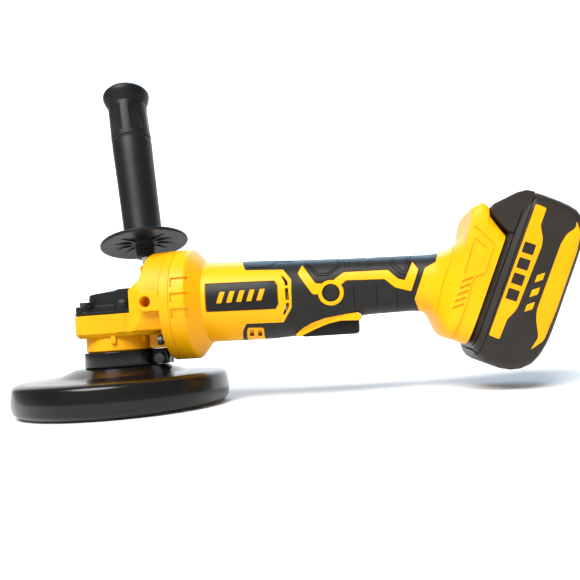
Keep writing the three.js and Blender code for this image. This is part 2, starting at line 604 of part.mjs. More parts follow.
function housingShell() {
  const outside = bodyForm(0);
  const around = bodyForm(-1);
  const rubberSeat = common(cut(around, bodyForm(RUBBER + 2 * GAP)), prism(RUBBER_EDGE, -60, 60));
  const plateSeat = common(cut(around, bodyForm(1.1)), prism(PLATE_EDGE, -60, 60));
  const mouth = turnedX(bar(33.2, COLLAR_SPLIT - 1, COLLAR_BACK - 2));
  const hollow = cut(outside, shellRoom(), mouth, rubberSeat, plateSeat);
  const channel = railPrism([[118, 184], [206, 184], [206, 200], [118, 200]], 24.5);
  const contactSlot = railPrism([[124, 170], [164, 170], [164, 186], [124, 186]], 12);
  const plugHole = rod(PLUG_X, -30, PLUG_Z, Y, 5.6, 60, 20);
  const screwHoles = SHELL_SCREWS.map(([x, z]) => rod(x, -14, z, Y, 2.2, 28, 12));
  const collarHoles = collarScrews.map(([y, z]) => rod(40, y, MOTOR_Z + z, X, 2.2, 11, 12));
  const pinHole = rod(PADDLE_PIN.x, -14.6, PADDLE_PIN.z, Y, 1.8, 29.2, 12);
  return cut(join(hollow, housingCore(), prism(LIP, -LIP_HALF, LIP_HALF)), paddleOpening(), channel, contactSlot,
    plugHole, ...screwHoles, ...collarHoles, pinHole);
}

function gripRubber() {
  const skin = cut(bodyForm(0), bodyForm(RUBBER));
  const plugRing = rod(PLUG_X, -30, PLUG_Z, Y, 8.6, 60, 24);
  const lip = prism(LIP, -LIP_HALF - GAP, LIP_HALF + GAP);
  const lipRoom = join(lip, moved(lip, 0, 0, GAP));
  return cut(common(skin, shrunk(RUBBER_EDGE, GAP)), plugRing, paddleOpening(), lipRoom);
}

function housing() {
  const sides = { left: box(40, 300, -60, -GAP / 2, 0, 130), right: box(40, 300, GAP / 2, 60, 0, 130) };
  const shell = housingShell();
  const rubber = gripRubber();
  const plate = common(shrunk(PLATE_EDGE, GAP), cut(bodyForm(-0.3), bodyForm(0.8)));
  Object.entries(sides).forEach(([side, half]) => {
    const outwards = side === 'left' ? Y.clone().negate() : Y;
    add(`housing_${side}`, common(shell, half), YELLOW);
    add(`grip_rubber_${side}`, common(rubber, half), BLACK_RUBBER);
    add(`name_plate_${side}`, common(plate, half), BLACK_PLASTIC);
    add(`plug_${side}`, rod(PLUG_X, 14 * outwards.y, PLUG_Z, outwards, 5.2, 5.4, 24), BLACK_PLASTIC);
  });
}

function housingFittings() {
  SHELL_SCREWS.forEach(([x, z], i) => {
    add(`housing_screw_${i + 1}`, rod(x, -13, z, Y, 1.9, 26, 10), DARK_STEEL);
  });
  collarScrews.forEach(([y, z], i) => {
    const head = rod(34.2, y, MOTOR_Z + z, X, 3.5, 2.5, 12);
    const shank = rod(34.4, y, MOTOR_Z + z, X, 1.9, 16, 8);
    add(`collar_screw_${i + 1}`, join(head, shank), DARK_STEEL);
  });
  const block = railPrism([[127, 172.5], [161, 172.5], [161, 180.2], [127, 180.2]], 11.5);
  const blades = [-9, 9].map((y) =>
    prism([[130, 176], [156, 176], [156, 188.4], [130, 188.4]].map(([u, v]) => fromRail(u, v)), y - 0.6, y + 0.6));
  add('terminal_block', join(block, ...blades), BLACK_PLASTIC);
}

// Paddle switch

const PADDLE = [
  [125.1, 38.2], [127, 37.4], [160.8, 37.2], [162, 38.2], [162.2, 45], [161.4, 51], [152, 52.6], [140, 52.6],
  [131.5, 50.6], [127, 48], [125.1, 44],
];

function paddle() {
  const lever = prism(PADDLE, -PADDLE_HALF + 0.1, PADDLE_HALF - 0.1);
  const pinHole = rod(PADDLE_PIN.x, -20, PADDLE_PIN.z, Y, 1.75, 40, 12);
  const springSeat = rod(154, 0, 50.4, Z, 3.4, 6, 16);
  add('paddle', cut(lever, pinHole, springSeat), BLACK_PLASTIC);
  add('paddle_pin', rod(PADDLE_PIN.x, -14.2, PADDLE_PIN.z, Y, 1.5, 28.4, 12), STEEL);
  add('paddle_spring', moved(spring(2.6, 0.35, 7.4, 4), 154, 0, 51.2), STEEL);
  add('switch_module', box(133, 158, -8, 8, 59.2, 69.5), BLACK_PLASTIC);
  add('motor_control', box(162, 197, -12, 12, 60, 73), DARK_STEEL);
}

// Side handle, drawn along its own axis and then leaned into place.

const handleAxis = new THREE.Vector3(-Math.tan(rad(HANDLE_FORWARD)), Math.tan(rad(HANDLE_ASIDE)), 1).normalize();

function solidBar(r, h0, h1) {
  return turned(bar(r, h0, h1), 20);
}

function alongHandle(shape) {
  const turn = new THREE.Quaternion().setFromUnitVectors(Z, handleAxis);
  const matrix = new THREE.Matrix4().compose(HANDLE_FOOT, turn, new THREE.Vector3(1, 1, 1));
  return placed(shape, matrix);
}

function sideHandle() {
  const stud = turned([[0, -13], [STUD_R, -13], [STUD_R, 40], [0, 40]], 20);
  add('handle_stud', alongHandle(stud), STEEL);
  const profile = [
    [STUD_R + 0.2, HUB_END], [5.8, HUB_END], [6.4, HUB_END + 0.6], [6.8, FLANGE_FACE], [11, 14.2], [28.6, 12.2],
    [29.8, 13], [29.6, 14.4], [13.4, 18.4], [12.9, 22], [13.6, 60], [14, 89.6], [13.4, 90.4], [13.4, 91.4], [14, 92.2], [13.7, 119.2],
    [0, 119.2], [0, 41], [STUD_R + 0.2, 41], [STUD_R + 0.2, HUB_END],
  ];
  add('handle_grip', alongHandle(turned(profile, 28)), BLACK_PLASTIC);
  const cap = [[0, 119.5], [13.7, 119.5], [15.4, 123], [16.6, 127], [16.4, 129.5], [13.6, 132.2], [0, HANDLE_TOP]];
  add('handle_cap', alongHandle(turned(cap, 24)), BLACK_PLASTIC);
}

// Battery pack, drawn in its own directions: x outwards from the rail, z up along the rail.

const pack = new THREE.Group();
pack.rotation.y = tilt;
grinder.add(pack);

function packPrism(points, y0, y1) {
  return prism(points.map(([u, v]) => [v, u]), y0, y1);
}

function packSlab(v0, v1, u0, u1, half, r) {
  const shape = roundedRect(u0, u1, -half, half, r);
  const geometry = extruded(shape, v1 - v0);
  const turn = new THREE.Matrix4().set(0, 0, 1, v0, 0, 1, 0, 0, 1, 0, 0, 0, 0, 0, 0, 1);
  return solid(geometry.applyMatrix4(turn));
}

const PACK_U0 = 107.2;
const PACK_U1 = 212.4;
const PACK_SEAM = 203.6;
const PACK_OUT = 239.4;
const CELL_V = 207.9;

// Side view of the upper case's tray, with its softened edges.
const TRAY_SIDE = [
  [PACK_U0, PACK_SEAM], [PACK_U0, 200.5], [109.4, 198], [113, SEAT + 0.6], [208, SEAT + 0.6], [211.4, 198],
  [PACK_U1, 200.5], [PACK_U1, PACK_SEAM],
];

function upperCase() {
  const plan = packSlab(SEAT, PACK_SEAM, PACK_U0, PACK_U1, BATTERY_HALF, 12);
  const tray = common(plan, packPrism(TRAY_SIDE, -BATTERY_HALF, BATTERY_HALF));
  const towerPoints = [[126, 184.6], [184, 184.6], [184, 198], [126, 198]];
  const tower = packPrism(towerPoints, -24, 24);
  const blockPoints = [[184.5, 197], [190.6, 185.2], [197.3, 182], [208.4, 193.5], [211.2, 198], [184.5, 198]];
  const head = packPrism(blockPoints, -BATTERY_HALF + 2, BATTERY_HALF - 2);
  const inside = packSlab(SEAT + 2.6, PACK_SEAM + 1, PACK_U0 + 5, PACK_U1 - 5, BATTERY_HALF - 3, 8);
  const towerRoom = packPrism([[130, 187], [180, 187], [180, 200], [130, 200]], -20, 20);
  const buttonRoom = packPrism([[193.4, 184.9], [203, 181], [212, 193], [209, 195.8], [193.4, 195.8]], -16, 16);
  const slot = [[120, 180], [160, 180], [160, 191], [120, 191]];
  const contactSlots = [-9, 9].map((y) => packPrism(slot, y - 1.2, y + 1.2));
  return cut(join(tray, tower, head), inside, towerRoom, buttonRoom, ...contactSlots);
}

// Side view of the pack's lower case, from the seam at its foot end round to the seam at its top end.
const PACK_SIDE = [
  [PACK_U0, PACK_SEAM + GAP], [107.4, 219], [109.3, 225], [112.6, 230], [117.1, 234.2], [125.7, 238.1],
  [135.6, PACK_OUT], [184.3, PACK_OUT], [197, 237.9], [204.5, 234.8], [208.6, 231.2], [210.4, 225.7],
  [PACK_U1, PACK_SEAM + GAP],
];

function lowerCase() {
  const plan = packSlab(PACK_SEAM, PACK_OUT + 1, PACK_U0, PACK_U1, BATTERY_HALF, 12);
  const outside = common(packPrism(PACK_SIDE, -BATTERY_HALF, BATTERY_HALF), plan);
  const middle = [(PACK_U0 + PACK_U1) / 2, PACK_SEAM];
  const shrink = ([u, v]) => [middle[0] + (u - middle[0]) * 0.953, v > PACK_SEAM + 1 ? v - 2 : PACK_SEAM - 1];
  const room = common(
    packPrism(PACK_SIDE.map(shrink), -BATTERY_HALF + 3, BATTERY_HALF - 3),
    packSlab(PACK_SEAM - 2, PACK_OUT, PACK_U0 + 2.4, PACK_U1 - 2.4, BATTERY_HALF - 3, 8),
  );
  return cut(outside, room);
}

function battery() {
  add('battery_case_upper', upperCase(), BATTERY_PLASTIC, pack);
  add('battery_case_lower', lowerCase(), BATTERY_PLASTIC, pack);
  [0, 1].forEach((row) => {
    const cells = Array.from({ length: 5 }, (_, i) =>
      rod(CELL_V + row * CELL_PITCH, -32.5, FIRST_CELL + i * CELL_PITCH, Y, CELL_R, 65, 14));
    const v = CELL_V + row * CELL_PITCH;
    const ends = [FIRST_CELL - 5, FIRST_CELL + 4 * CELL_PITCH + 5];
    const strips = [-32.9, 32.3].map((y) => box(v - 4, v + 4, y, y + 0.6, ...ends));
    add(`cell_row_${row + 1}`, join(...cells, ...strips), CELL_WRAP, pack);
  });
  add('battery_board', box(189, 190.6, -18, 18, 132, 178), BOARD, pack);
}

function releaseButton() {
  const side = [[197.2, 185.4], [200.3, 185.4], [207.4, 193.6], [207.4, 195.3], [197.2, 195.3]];
  add('release_button', packPrism(side, -15.4, 15.4), BLACK_PLASTIC, pack);
}

gearHead();
add('lock_button', lockButton(), BLACK_PLASTIC);
add('lock_spring', moved(spring(3.1, 0.35, 2.9, 3), LOCK_X, LOCK_Y, LOCK_FLOOR + 0.4), STEEL);
guard();
spindle();
rotor();
stator();
housing();
housingFittings();
paddle();
sideHandle();
battery();
releaseButton();

export default grinder;
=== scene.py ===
"""Looks of a cordless angle grinder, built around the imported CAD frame."""
import json
import math

import bmesh
import bpy
import numpy as np
from mathutils import Matrix, Quaternion, Vector


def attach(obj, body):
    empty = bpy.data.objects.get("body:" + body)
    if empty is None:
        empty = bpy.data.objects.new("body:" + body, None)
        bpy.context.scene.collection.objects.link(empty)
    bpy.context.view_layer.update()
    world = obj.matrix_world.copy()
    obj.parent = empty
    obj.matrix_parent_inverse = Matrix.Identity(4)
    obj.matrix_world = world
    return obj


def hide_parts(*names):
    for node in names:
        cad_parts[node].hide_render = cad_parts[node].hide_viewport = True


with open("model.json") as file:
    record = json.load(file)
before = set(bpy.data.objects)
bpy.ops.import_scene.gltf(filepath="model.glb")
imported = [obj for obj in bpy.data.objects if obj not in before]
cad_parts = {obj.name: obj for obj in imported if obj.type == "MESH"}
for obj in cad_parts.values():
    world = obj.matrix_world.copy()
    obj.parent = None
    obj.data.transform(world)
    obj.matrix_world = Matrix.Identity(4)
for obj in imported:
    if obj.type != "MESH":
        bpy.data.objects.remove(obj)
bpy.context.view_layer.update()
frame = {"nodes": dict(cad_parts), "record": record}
record = frame["record"]

MM = 0.001
MOTOR_Z = 64.3  # height of the rotor axis
TILT = math.radians(23.5)  # lean of the battery rail
CLOSE = 1e-7  # metres; points nearer than this are one point
MOST_OF_SIDE = 0.45  # share of a side that one softened corner may take


# Meshes, with all lengths in millimetres


def rail(u, v):
    """X and Z of a point given along (u) and away from (v) the battery rail."""
    return (u * math.sin(TILT) + v * math.cos(TILT), u * math.cos(TILT) - v * math.sin(TILT))


def mesh_object(name, points, faces):
    """A new object from points in millimetres."""
    mesh = bpy.data.meshes.new(name)
    mesh.from_pydata([Vector(p) * MM for p in points], [], faces)
    made = bpy.data.objects.new(name, mesh)
    bpy.context.scene.collection.objects.link(made)
    outwards(made)
    return made


def outwards(made, near=CLOSE, drop_flat=False):
    """Joins points that meet, drops flat faces if asked, and turns every face outwards."""
    shape = bmesh.new()
    shape.from_mesh(made.data)
    bmesh.ops.remove_doubles(shape, verts=shape.verts, dist=near)
    if drop_flat:
        bmesh.ops.dissolve_degenerate(shape, edges=shape.edges, dist=CLOSE)
    bmesh.ops.recalc_face_normals(shape, faces=shape.faces)
    shape.to_mesh(made.data)
    shape.free()


def softened(points, radius, closed=True, steps=4):
    """The outline with each corner replaced by a curve, which takes less than half of a short side."""
    made = []
    count = len(points)
    for i, corner in enumerate(points):
        here = np.array(corner, float)
        if not closed and i in (0, count - 1):
            made.append(tuple(here))
            continue
        before = np.array(points[i - 1], float) - here
        after = np.array(points[(i + 1) % count], float) - here
        reach = min(radius, np.linalg.norm(before) * MOST_OF_SIDE, np.linalg.norm(after) * MOST_OF_SIDE)
        a = here + before / np.linalg.norm(before) * reach
        b = here + after / np.linalg.norm(after) * reach
        for k in range(steps + 1):
            t = k / steps
            made.append(tuple((1 - t) ** 2 * a + 2 * t * (1 - t) * here + t * t * b))
    return made


def extrusion(name, low, high):
    """A solid between two outlines that have the same count."""
    count = len(low)
    sides = [(i, (i + 1) % count, count + (i + 1) % count, count + i) for i in range(count)]
    return mesh_object(name, low + high, [tuple(range(count)), tuple(range(count, 2 * count)), *sides])


def prism(points, y0=-60, y1=60, name="tool"):
    """An outline in X and Z, carried across the tool."""
    return extrusion(name, [(x, y0, z) for x, z in points], [(x, y1, z) for x, z in points])


def slab(points, z0, z1, name="tool"):
    """An outline in X and Y, carried up."""
    return extrusion(name, [(x, y, z0) for x, y in points], [(x, y, z1) for x, y in points])


def block(x0, x1, y0, y1, z0, z1, name="tool"):
    return prism([(x0, z0), (x1, z0), (x1, z1), (x0, z1)], y0, y1, name)


def bands(rings, count):
    """The faces between one ring and the next, for that many rings of that many points."""
    faces = []
    for k in range(rings - 1):
        a = k * count
        b = a + count
        faces += [(a + i, a + (i + 1) % count, b + (i + 1) % count, b + i) for i in range(count)]
    return faces


def loft(name, rings):
    """A solid through rings of the same count, with flat ends."""
    count = len(rings[0])
    points = [p for ring in rings for p in ring]
    ends = [tuple(range(count)), tuple(range(len(points) - count, len(points)))]
    return mesh_object(name, points, ends + bands(len(rings), count))


def lathe(name, profile, segments=96, along="z"):
    """A turned solid about Z, or about the rotor axis. Its (radius, height) profile starts and ends on
    the axis, or closes on itself."""
    angles = [2 * math.pi * i / segments for i in range(segments)]
    points = []
    for r, h in profile:
        if along == "z":
            points += [(r * math.cos(a), r * math.sin(a), h) for a in angles]
        else:
            points += [(h, r * math.cos(a), MOTOR_Z + r * math.sin(a)) for a in angles]
    made = mesh_object(name, points, bands(len(profile), segments))
    outwards(made, 10 * CLOSE, drop_flat=True)
    return made


def rod(start, axis, r, length, segments=32, name="tool"):
    """A round bar from a point along an axis."""
    turn = Vector((0, 0, 1)).rotation_difference(Vector(axis)).to_matrix()
    angles = [2 * math.pi * i / segments for i in range(segments)]
    around = [(r * math.cos(a), r * math.sin(a)) for a in angles]
    low, high = ([Vector(start) + turn @ Vector((x, y, h)) for x, y in around] for h in (0, length))
    return extrusion(name, low, high)


def rounded_plan(x0, x1, y0, y1, r):
    """A rectangle with round corners."""
    return softened([(x0, y0), (x1, y0), (x1, y1), (x0, y1)], r, steps=8)


def settle(made):
    """Applies the object's modifiers."""
    graph = bpy.context.evaluated_depsgraph_get()
    mesh = bpy.data.meshes.new_from_object(made.evaluated_get(graph))
    made.modifiers.clear()
    made.data = mesh
    return made


def combine(made, tools, how):
    """Joins, cuts or intersects the solid with each tool, and then deletes the tools."""
    for tool in tools:
        step = made.modifiers.new("combine", "BOOLEAN")
        step.operation = how
        step.solver = "MANIFOLD"
        step.object = tool
        settle(made)
    for tool in tools:
        bpy.data.objects.remove(tool)
    return made


def cut(made, *tools):
    return combine(made, tools, "DIFFERENCE")


def join(made, *tools):
    return combine(made, tools, "UNION")


def common(made, *tools):
    return combine(made, tools, "INTERSECT")


def copy(made, name="tool"):
    twin = made.copy()
    twin.data = made.data.copy()
    twin.name = name
    bpy.context.scene.collection.objects.link(twin)
    return twin


def bevel(made, width, steps=3, angle=40):
    step = made.modifiers.new("bevel", "BEVEL")
    step.width = width * MM
    step.segments = steps
    step.limit_method = "ANGLE"
    step.angle_limit = math.radians(angle)
    return settle(made)


def cast(made, voxel, passes):
    """Gives the solid the soft corners of a casting or a moulding."""
    remesh = made.modifiers.new("remesh", "REMESH")
    remesh.mode = "VOXEL"
    remesh.voxel_size = voxel * MM
    smooth = made.modifiers.new("smooth", "SMOOTH")
    smooth.factor = 0.5
    smooth.iterations = passes
    return settle(made)


def mirrored(made, name):
    """The same piece on the other side of the middle plane."""
    twin = copy(made, name)
    twin.data.transform(Matrix.Diagonal((1, -1, 1, 1)))
    twin.data.flip_normals()
    return twin


def ribbon(points, width):
    """An outline of constant width along a line."""
    left = []
    right = []
    line = [np.array(p, float) for p in points]
    for i, here in enumerate(line):
        back = line[max(i - 1, 0)]
        ahead = line[min(i + 1, len(line) - 1)]
        along = (ahead - back) / np.linalg.norm(ahead - back)
        side = np.array((-along[1], along[0])) * width / 2
        left.append(tuple(here + side))
        right.append(tuple(here - side))
    return left + right[::-1]


# Materials


def shader(name, rough, metallic=0.0, coat=0.0, specular=0.5):
    """A material, its node tree and its surface node."""
    made = bpy.data.materials.new(name)
    made.use_nodes = True
    surface = made.node_tree.nodes["Principled BSDF"]
    surface.inputs["Metallic"].default_value = metallic
    surface.inputs["Coat Weight"].default_value = coat
    surface.inputs["Coat Roughness"].default_value = 0.08
    surface.inputs["Roughness"].default_value = rough
    surface.inputs["Specular IOR Level"].default_value = specular
    return made, made.node_tree, surface


def noise(tree, scale, detail=4.0, stretch=(1, 1, 1)):
    """Noise fixed to the piece, with its scale per metre."""
    place = tree.nodes.new("ShaderNodeTexCoord")
    mapping = tree.nodes.new("ShaderNodeMapping")
    mapping.inputs["Scale"].default_value = stretch
    texture = tree.nodes.new("ShaderNodeTexNoise")
    texture.inputs["Scale"].default_value = scale
    texture.inputs["Detail"].default_value = detail
    tree.links.new(place.outputs["Object"], mapping.inputs["Vector"])
    tree.links.new(mapping.outputs["Vector"], texture.inputs["Vector"])
    return texture.outputs["Fac"]


def ramp(tree, value, low, high):
    """A colour from low to high over the middle of the value's range."""
    made = tree.nodes.new("ShaderNodeValToRGB")
    for element, place, colour in zip(made.color_ramp.elements, (0.35, 0.65), (low, high)):
        element.position = place
        element.color = (*colour, 1)
    tree.links.new(value, made.inputs["Fac"])
    return made.outputs["Color"]


def spread(tree, value, low, high):
    """A number from low to high as the value goes from 0 to 1."""
    made = tree.nodes.new("ShaderNodeMapRange")
    made.inputs["To Min"].default_value = low
    made.inputs["To Max"].default_value = high
    tree.links.new(value, made.inputs["Value"])
    return made.outputs["Result"]


def relief(tree, surface, height, depth, round_edge=0.0):
    """Bump from a height, on top of edges rounded by a small radius in millimetres."""
    bump = tree.nodes.new("ShaderNodeBump")
    bump.inputs["Distance"].default_value = depth * MM
    tree.links.new(height, bump.inputs["Height"])
    if round_edge:
        edge = tree.nodes.new("ShaderNodeBevel")
        edge.samples = 4
        edge.inputs["Radius"].default_value = round_edge * MM
        tree.links.new(edge.outputs["Normal"], bump.inputs["Normal"])
    tree.links.new(bump.outputs["Normal"], surface.inputs["Normal"])


def plastic(name, low, high, rough, grain, depth, round_edge=0.4, specular=0.4):
    """Moulded plastic: slow colour drift, a fine spark-eroded grain and an uneven sheen."""
    made, tree, surface = shader(name, rough, specular=specular)
    tree.links.new(ramp(tree, noise(tree, 45), low, high), surface.inputs["Base Color"])
    tree.links.new(spread(tree, noise(tree, 160), rough - 0.05, rough + 0.07), surface.inputs["Roughness"])
    relief(tree, surface, noise(tree, grain, 2.0), depth, round_edge)
    return made


def rubber(name):
    """Soft overmould: a pebbled skin with a dusty sheen."""
    made, tree, surface = shader(name, 0.5, specular=0.28)
    colour = ramp(tree, noise(tree, 70), (0.008, 0.0078, 0.0074), (0.013, 0.0127, 0.012))
    tree.links.new(colour, surface.inputs["Base Color"])
    tree.links.new(spread(tree, noise(tree, 300), 0.4, 0.56), surface.inputs["Roughness"])
    relief(tree, surface, noise(tree, 1600, 3.0), 0.05, 0.35)
    return made


def gloss_paint(name):
    """Thick gloss black on pressed sheet, with a little orange peel and dust."""
    made, tree, surface = shader(name, 0.24, coat=0.1, specular=0.35)
    colour = ramp(tree, noise(tree, 35), (0.003, 0.0028, 0.0025), (0.007, 0.0065, 0.006))
    tree.links.new(colour, surface.inputs["Base Color"])
    tree.links.new(spread(tree, noise(tree, 120), 0.17, 0.3), surface.inputs["Roughness"])
    relief(tree, surface, noise(tree, 55, 2.0), 0.08, 0.5)
    return made


def metal(name, low, high, rough, stretch, depth=0.02):
    """Turned or ground metal with fine tool marks."""
    made, tree, surface = shader(name, rough, metallic=1.0)
    tree.links.new(ramp(tree, noise(tree, 90), low, high), surface.inputs["Base Color"])
    marks = spread(tree, noise(tree, 700, 4, stretch), rough - 0.1, rough + 0.12)
    tree.links.new(marks, surface.inputs["Roughness"])
    relief(tree, surface, noise(tree, 900, 3, stretch), depth, 0.2)
    return made


DULL = 0.22  # specular level of the yellow and the black plastic

LOOKS = {
    "yellow_plastic": plastic(
        "yellow_plastic", (0.90, 0.405, 0.0), (0.96, 0.45, 0.0), 0.40, 2200, 0.02, specular=DULL),
    "yellow_cast": plastic(
        "yellow_cast", (0.88, 0.385, 0.0), (0.94, 0.43, 0.0), 0.44, 1300, 0.04, 0.5, DULL),
    "black_plastic": plastic(
        "black_plastic", (0.006, 0.0066, 0.007), (0.011, 0.012, 0.013), 0.42, 2000, 0.03, specular=DULL),
    "black_rubber": rubber("black_rubber"),
    "black_paint": gloss_paint("black_paint"),
    "battery_plastic": plastic(
        "battery_plastic", (0.018, 0.0145, 0.011), (0.025, 0.020, 0.016), 0.42, 1800, 0.03, specular=0.3),
    "band_yellow": plastic(
        "band_yellow", (0.90, 0.36, 0.0), (0.95, 0.40, 0.0), 0.36, 900, 0.01, 0.1, DULL),
    "steel": metal("steel", (0.52, 0.52, 0.53), (0.66, 0.66, 0.67), 0.3, (1, 1, 12)),
    "dark_steel": metal("dark_steel", (0.07, 0.07, 0.075), (0.14, 0.14, 0.145), 0.42, (1, 1, 8)),
    "copper": metal("copper", (0.62, 0.28, 0.12), (0.78, 0.4, 0.18), 0.35, (14, 1, 1), 0.08),
    "cell_wrap": plastic("cell_wrap", (0.02, 0.2, 0.11), (0.03, 0.27, 0.15), 0.3, 600, 0.02),
    "board": plastic("board", (0.008, 0.09, 0.03), (0.015, 0.14, 0.05), 0.35, 500, 0.04),
}


def wear(made, look):
    made.data.materials.clear()
    made.data.materials.append(LOOKS[look])


def finish_piece(made, look, body, *nodes, slot=None, angle=35):
    """Gives a piece its material, its body and the CAD nodes that it stands for."""
    wear(made, look)
    made.data.shade_smooth()
    made.data.set_sharp_from_angle(angle=math.radians(angle))
    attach(made, body)
    if nodes:
        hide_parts(*nodes)
    return made


def dress_frame():
    """Gives every carried-over CAD node the material of its slot."""
    slots = {part["node"]: part["material_slot"] for part in record["subparts"]}
    for name, node in frame["nodes"].items():
        node.data.materials.clear()
        node.data.materials.append(LOOKS[slots[name]])
        node.data.set_sharp_from_angle(angle=math.radians(30))


# Motor housing, grip and battery foot

# X and Z of the top and bottom, half width, squareness above and below the middle.
SECTIONS = [
    ((59.9, 91.1), (59.9, 37.9), 26.6, 2, 2),
    ((63.9, 91.1), (63.9, 37.9), 26.6, 2, 2),
    ((106, 89.4), (106, 37.4), 26, 2, 2.1),
    ((118, 88.5), (118, 38), 24.3, 2.1, 2.6),
    ((126, 88), (125, 38.3), 22.8, 2.2, 3.4),
    ((152, 86.7), (152, 46.3), 20.3, 2.4, 4),
    ((168, 86), (168, 48.9), 20, 2.4, 3),
    ((199, 85), (198, 49.2), 20.5, 2.4, 2.6),
    ((207, 84.5), (203.8, 48.2), 22.2, 2.5, 2.6),
    ((214.5, 84.8), (206.6, 44), 24.5, 2.7, 2.7),
    ((219.5, 85.9), (208.5, 38.6), 27.5, 3, 3),
    ((225, 88.4), (210.5, 34.2), 30.5, 3.4, 3.4),
    ((230.3, 93.2), (212.8, 32.3), 32.5, 4, 4.4),
    ((233.2, 100.6), (215.4, 30.7), 33.5, 5, 5.5),
    ((234.9, 109.2), (218.8, 29.5), 34, 9, 6),
    ((241.6, 112), (220.7, 28.9), 34.4, 10, 6),
    ((245.5, 108.3), (222.4, 28.3), 34.6, 10, 6),
    ((244.8, 103.5), (224, 27.4), 34.6, 11, 6),
    ((248.5, 97.1), rail(114.3, 195), 34.6, 12, 6),
    (rail(183.8, 196), rail(114.2, 196), 34.6, 12, 6),
]
FOOT_SECTION = 12  # the foot starts at this section
SECTION_STEP = 1.2
AROUND = 112  # points in each ring


def fine_sections():
    """The sections filled in at even steps and gently rounded along the body, less so on the foot."""
    table = np.array([[*top, *low, half, above, below] for top, low, half, above, below in SECTIONS])
    steps = np.linalg.norm(np.diff(table[:, :4], axis=0), axis=1)
    at = np.concatenate([[0], np.cumsum(steps)])
    fine_at = np.linspace(0, at[-1], int(at[-1] / SECTION_STEP))
    fine = np.stack([np.interp(fine_at, at, table[:, k]) for k in range(table.shape[1])], axis=1)
    foot = int(np.searchsorted(fine_at, at[FOOT_SECTION]))
    for last in [foot] * 8 + [len(fine)] * 2:
        part = fine[:last]
        part[1:-1] = (part[:-2] + 2 * part[1:-1] + part[2:]) / 4
    return fine


def section_ring(row, inset):
    """The points around one section, moved in by an inset."""
    top_x, top_z, low_x, low_z, half, above, below = row
    top = np.array((top_x, 0, top_z))
    low = np.array((low_x, 0, low_z))
    middle = (top + low) / 2
    up = (top - low) / 2
    up *= 1 - inset / np.linalg.norm(up)
    ring = []
    for i in range(AROUND):
        a = 2 * math.pi * i / AROUND
        power = above if math.cos(a) > 0 else below
        height = math.copysign(abs(math.cos(a)) ** (2 / power), math.cos(a))
        side = (half - inset) * math.copysign(abs(math.sin(a)) ** (2 / power), math.sin(a))
        ring.append(tuple(middle + up * height + np.array((0, side, 0))))
    return ring


def body_form(inset, name="tool"):
    """The housing's outer shape with its round collar, moved in by an inset."""
    cone = [
        (36.6 - inset, 45.9), (36.6 - inset, 55.4 - inset / 2),
        (26.6 - inset, 63.9 - inset / 2), (24.4 - inset, 67),
    ]
    collar = [(0, 45.7), (36.4 - inset, 45.7), *softened(cone, 1.4, closed=False), (0, 67)]
    rings = [section_ring(row, inset) for row in fine_sections()]
    return join(loft(name, rings), lathe("tool", collar, 128, "x"))


RUBBER_EDGE = [
    (89.4, 100), (89.4, 88.3), (92.4, 82.6), (116.8, 81.1), (122, 74), (121.2, 56.4), (115.3, 47.6),
    (91.4, 48.3), (88.4, 44.2), (85.8, 37.6), (85, 30), (121, 30), (121.8, 39), (126.1, 42.7),
    (132.9, 46), (141.3, 48.4), (152, 49.8), (162, 50.4), (164.4, 48), (165, 30), (200.4, 30),
    (200.4, 49.4), (199.6, 50.6), (197.5, 56.3), (205, 74.9), (211.9, 78.1), (214.3, 84), (214.3, 100),
]
PLATE_EDGE = [(66.7, 57.4), (111.4, 56.2), (113.5, 59.2), (113.5, 71.6), (111.4, 74.2), (66.7, 75.6)]
LIP = [
    (121.8, 39.2), (126.1, 42.9), (132.9, 46.2), (141.3, 48.6), (152, 50), (162, 50.6), (164.4, 48),
    (162.2, 45.6), (151, 46.2), (142.8, 44.9), (134.4, 41.9), (124.1, 37.7),
]
STRIPE_FRONT = [(128.8, 83.4), (125.9, 77.7), (134.8, 63.8), (140, 63.5), (142, 70), (137, 70.5)]
STRIPE_BACK = [
    (148.4, 72), (155.1, 76.4), (182.4, 75.7), (188.3, 69.6), (192.3, 68.3), (198.1, 79.8), (201.2, 74.5),
    (195.8, 61.2), (186.2, 64.3), (180, 70), (156.2, 71.1), (151, 67),
]
WINDOW = [(91.5, 45.8), (102.2, 45.2), (100.2, 36.8), (88.6, 37.4)]
WINDOW_SLOTS = [
    [(92.6, 44.4), (95.4, 44.3), (94.4, 40.4), (91.5, 40.5)],
    [(97.9, 44.1), (100.7, 44), (99.6, 40.1), (96.8, 40.2)],
]
PLUG = (146.2, 64)


def seat(edge, depth, around):
    """The room for something let into the surface inside an outline, down to a depth."""
    return common(cut(copy(around), body_form(depth)), prism(edge))


def near_half(made, gap=0.15):
    """The piece without its far half, which starts a gap before the middle plane."""
    return cut(made, block(40, 300, -gap, 60, 0, 130))


def engraving(outlines, depth, around):
    """Thin tools that cut to an even depth below the curved surface."""
    made = prism(outlines[0])
    for points in outlines[1:]:
        made = join(made, prism(points))
    return common(cut(copy(around), body_form(depth)), made)


def ring_tool(r):
    """A round tool through both sides at the plug."""
    return rod((PLUG[0], -60, PLUG[1]), (0, 1, 0), r, 120, 48)


def stripes(grow):
    """The yellow chevrons and the ring around the plug, as one tool."""
    arms = [prism(softened(points, 0.8)) for points in (STRIPE_FRONT, STRIPE_BACK)]
    if grow:
        arms = [widened(arm, grow) for arm in arms]
    return join(ring_tool(8 + grow), *arms)


def widened(made, grow):
    """A prism tool made a little larger sideways by moving copies of it."""
    shifts = [(grow, 0), (-grow, 0), (0, grow), (0, -grow)]
    twins = []
    for x, z in shifts:
        twin = copy(made)
        twin.data.transform(Matrix.Translation((x * MM, 0, z * MM)))
        twins.append(twin)
    return join(made, *twins)


def paddle_opening():
    return block(124.6, 163.6, -13.5, 13.5, 30, 56.5)


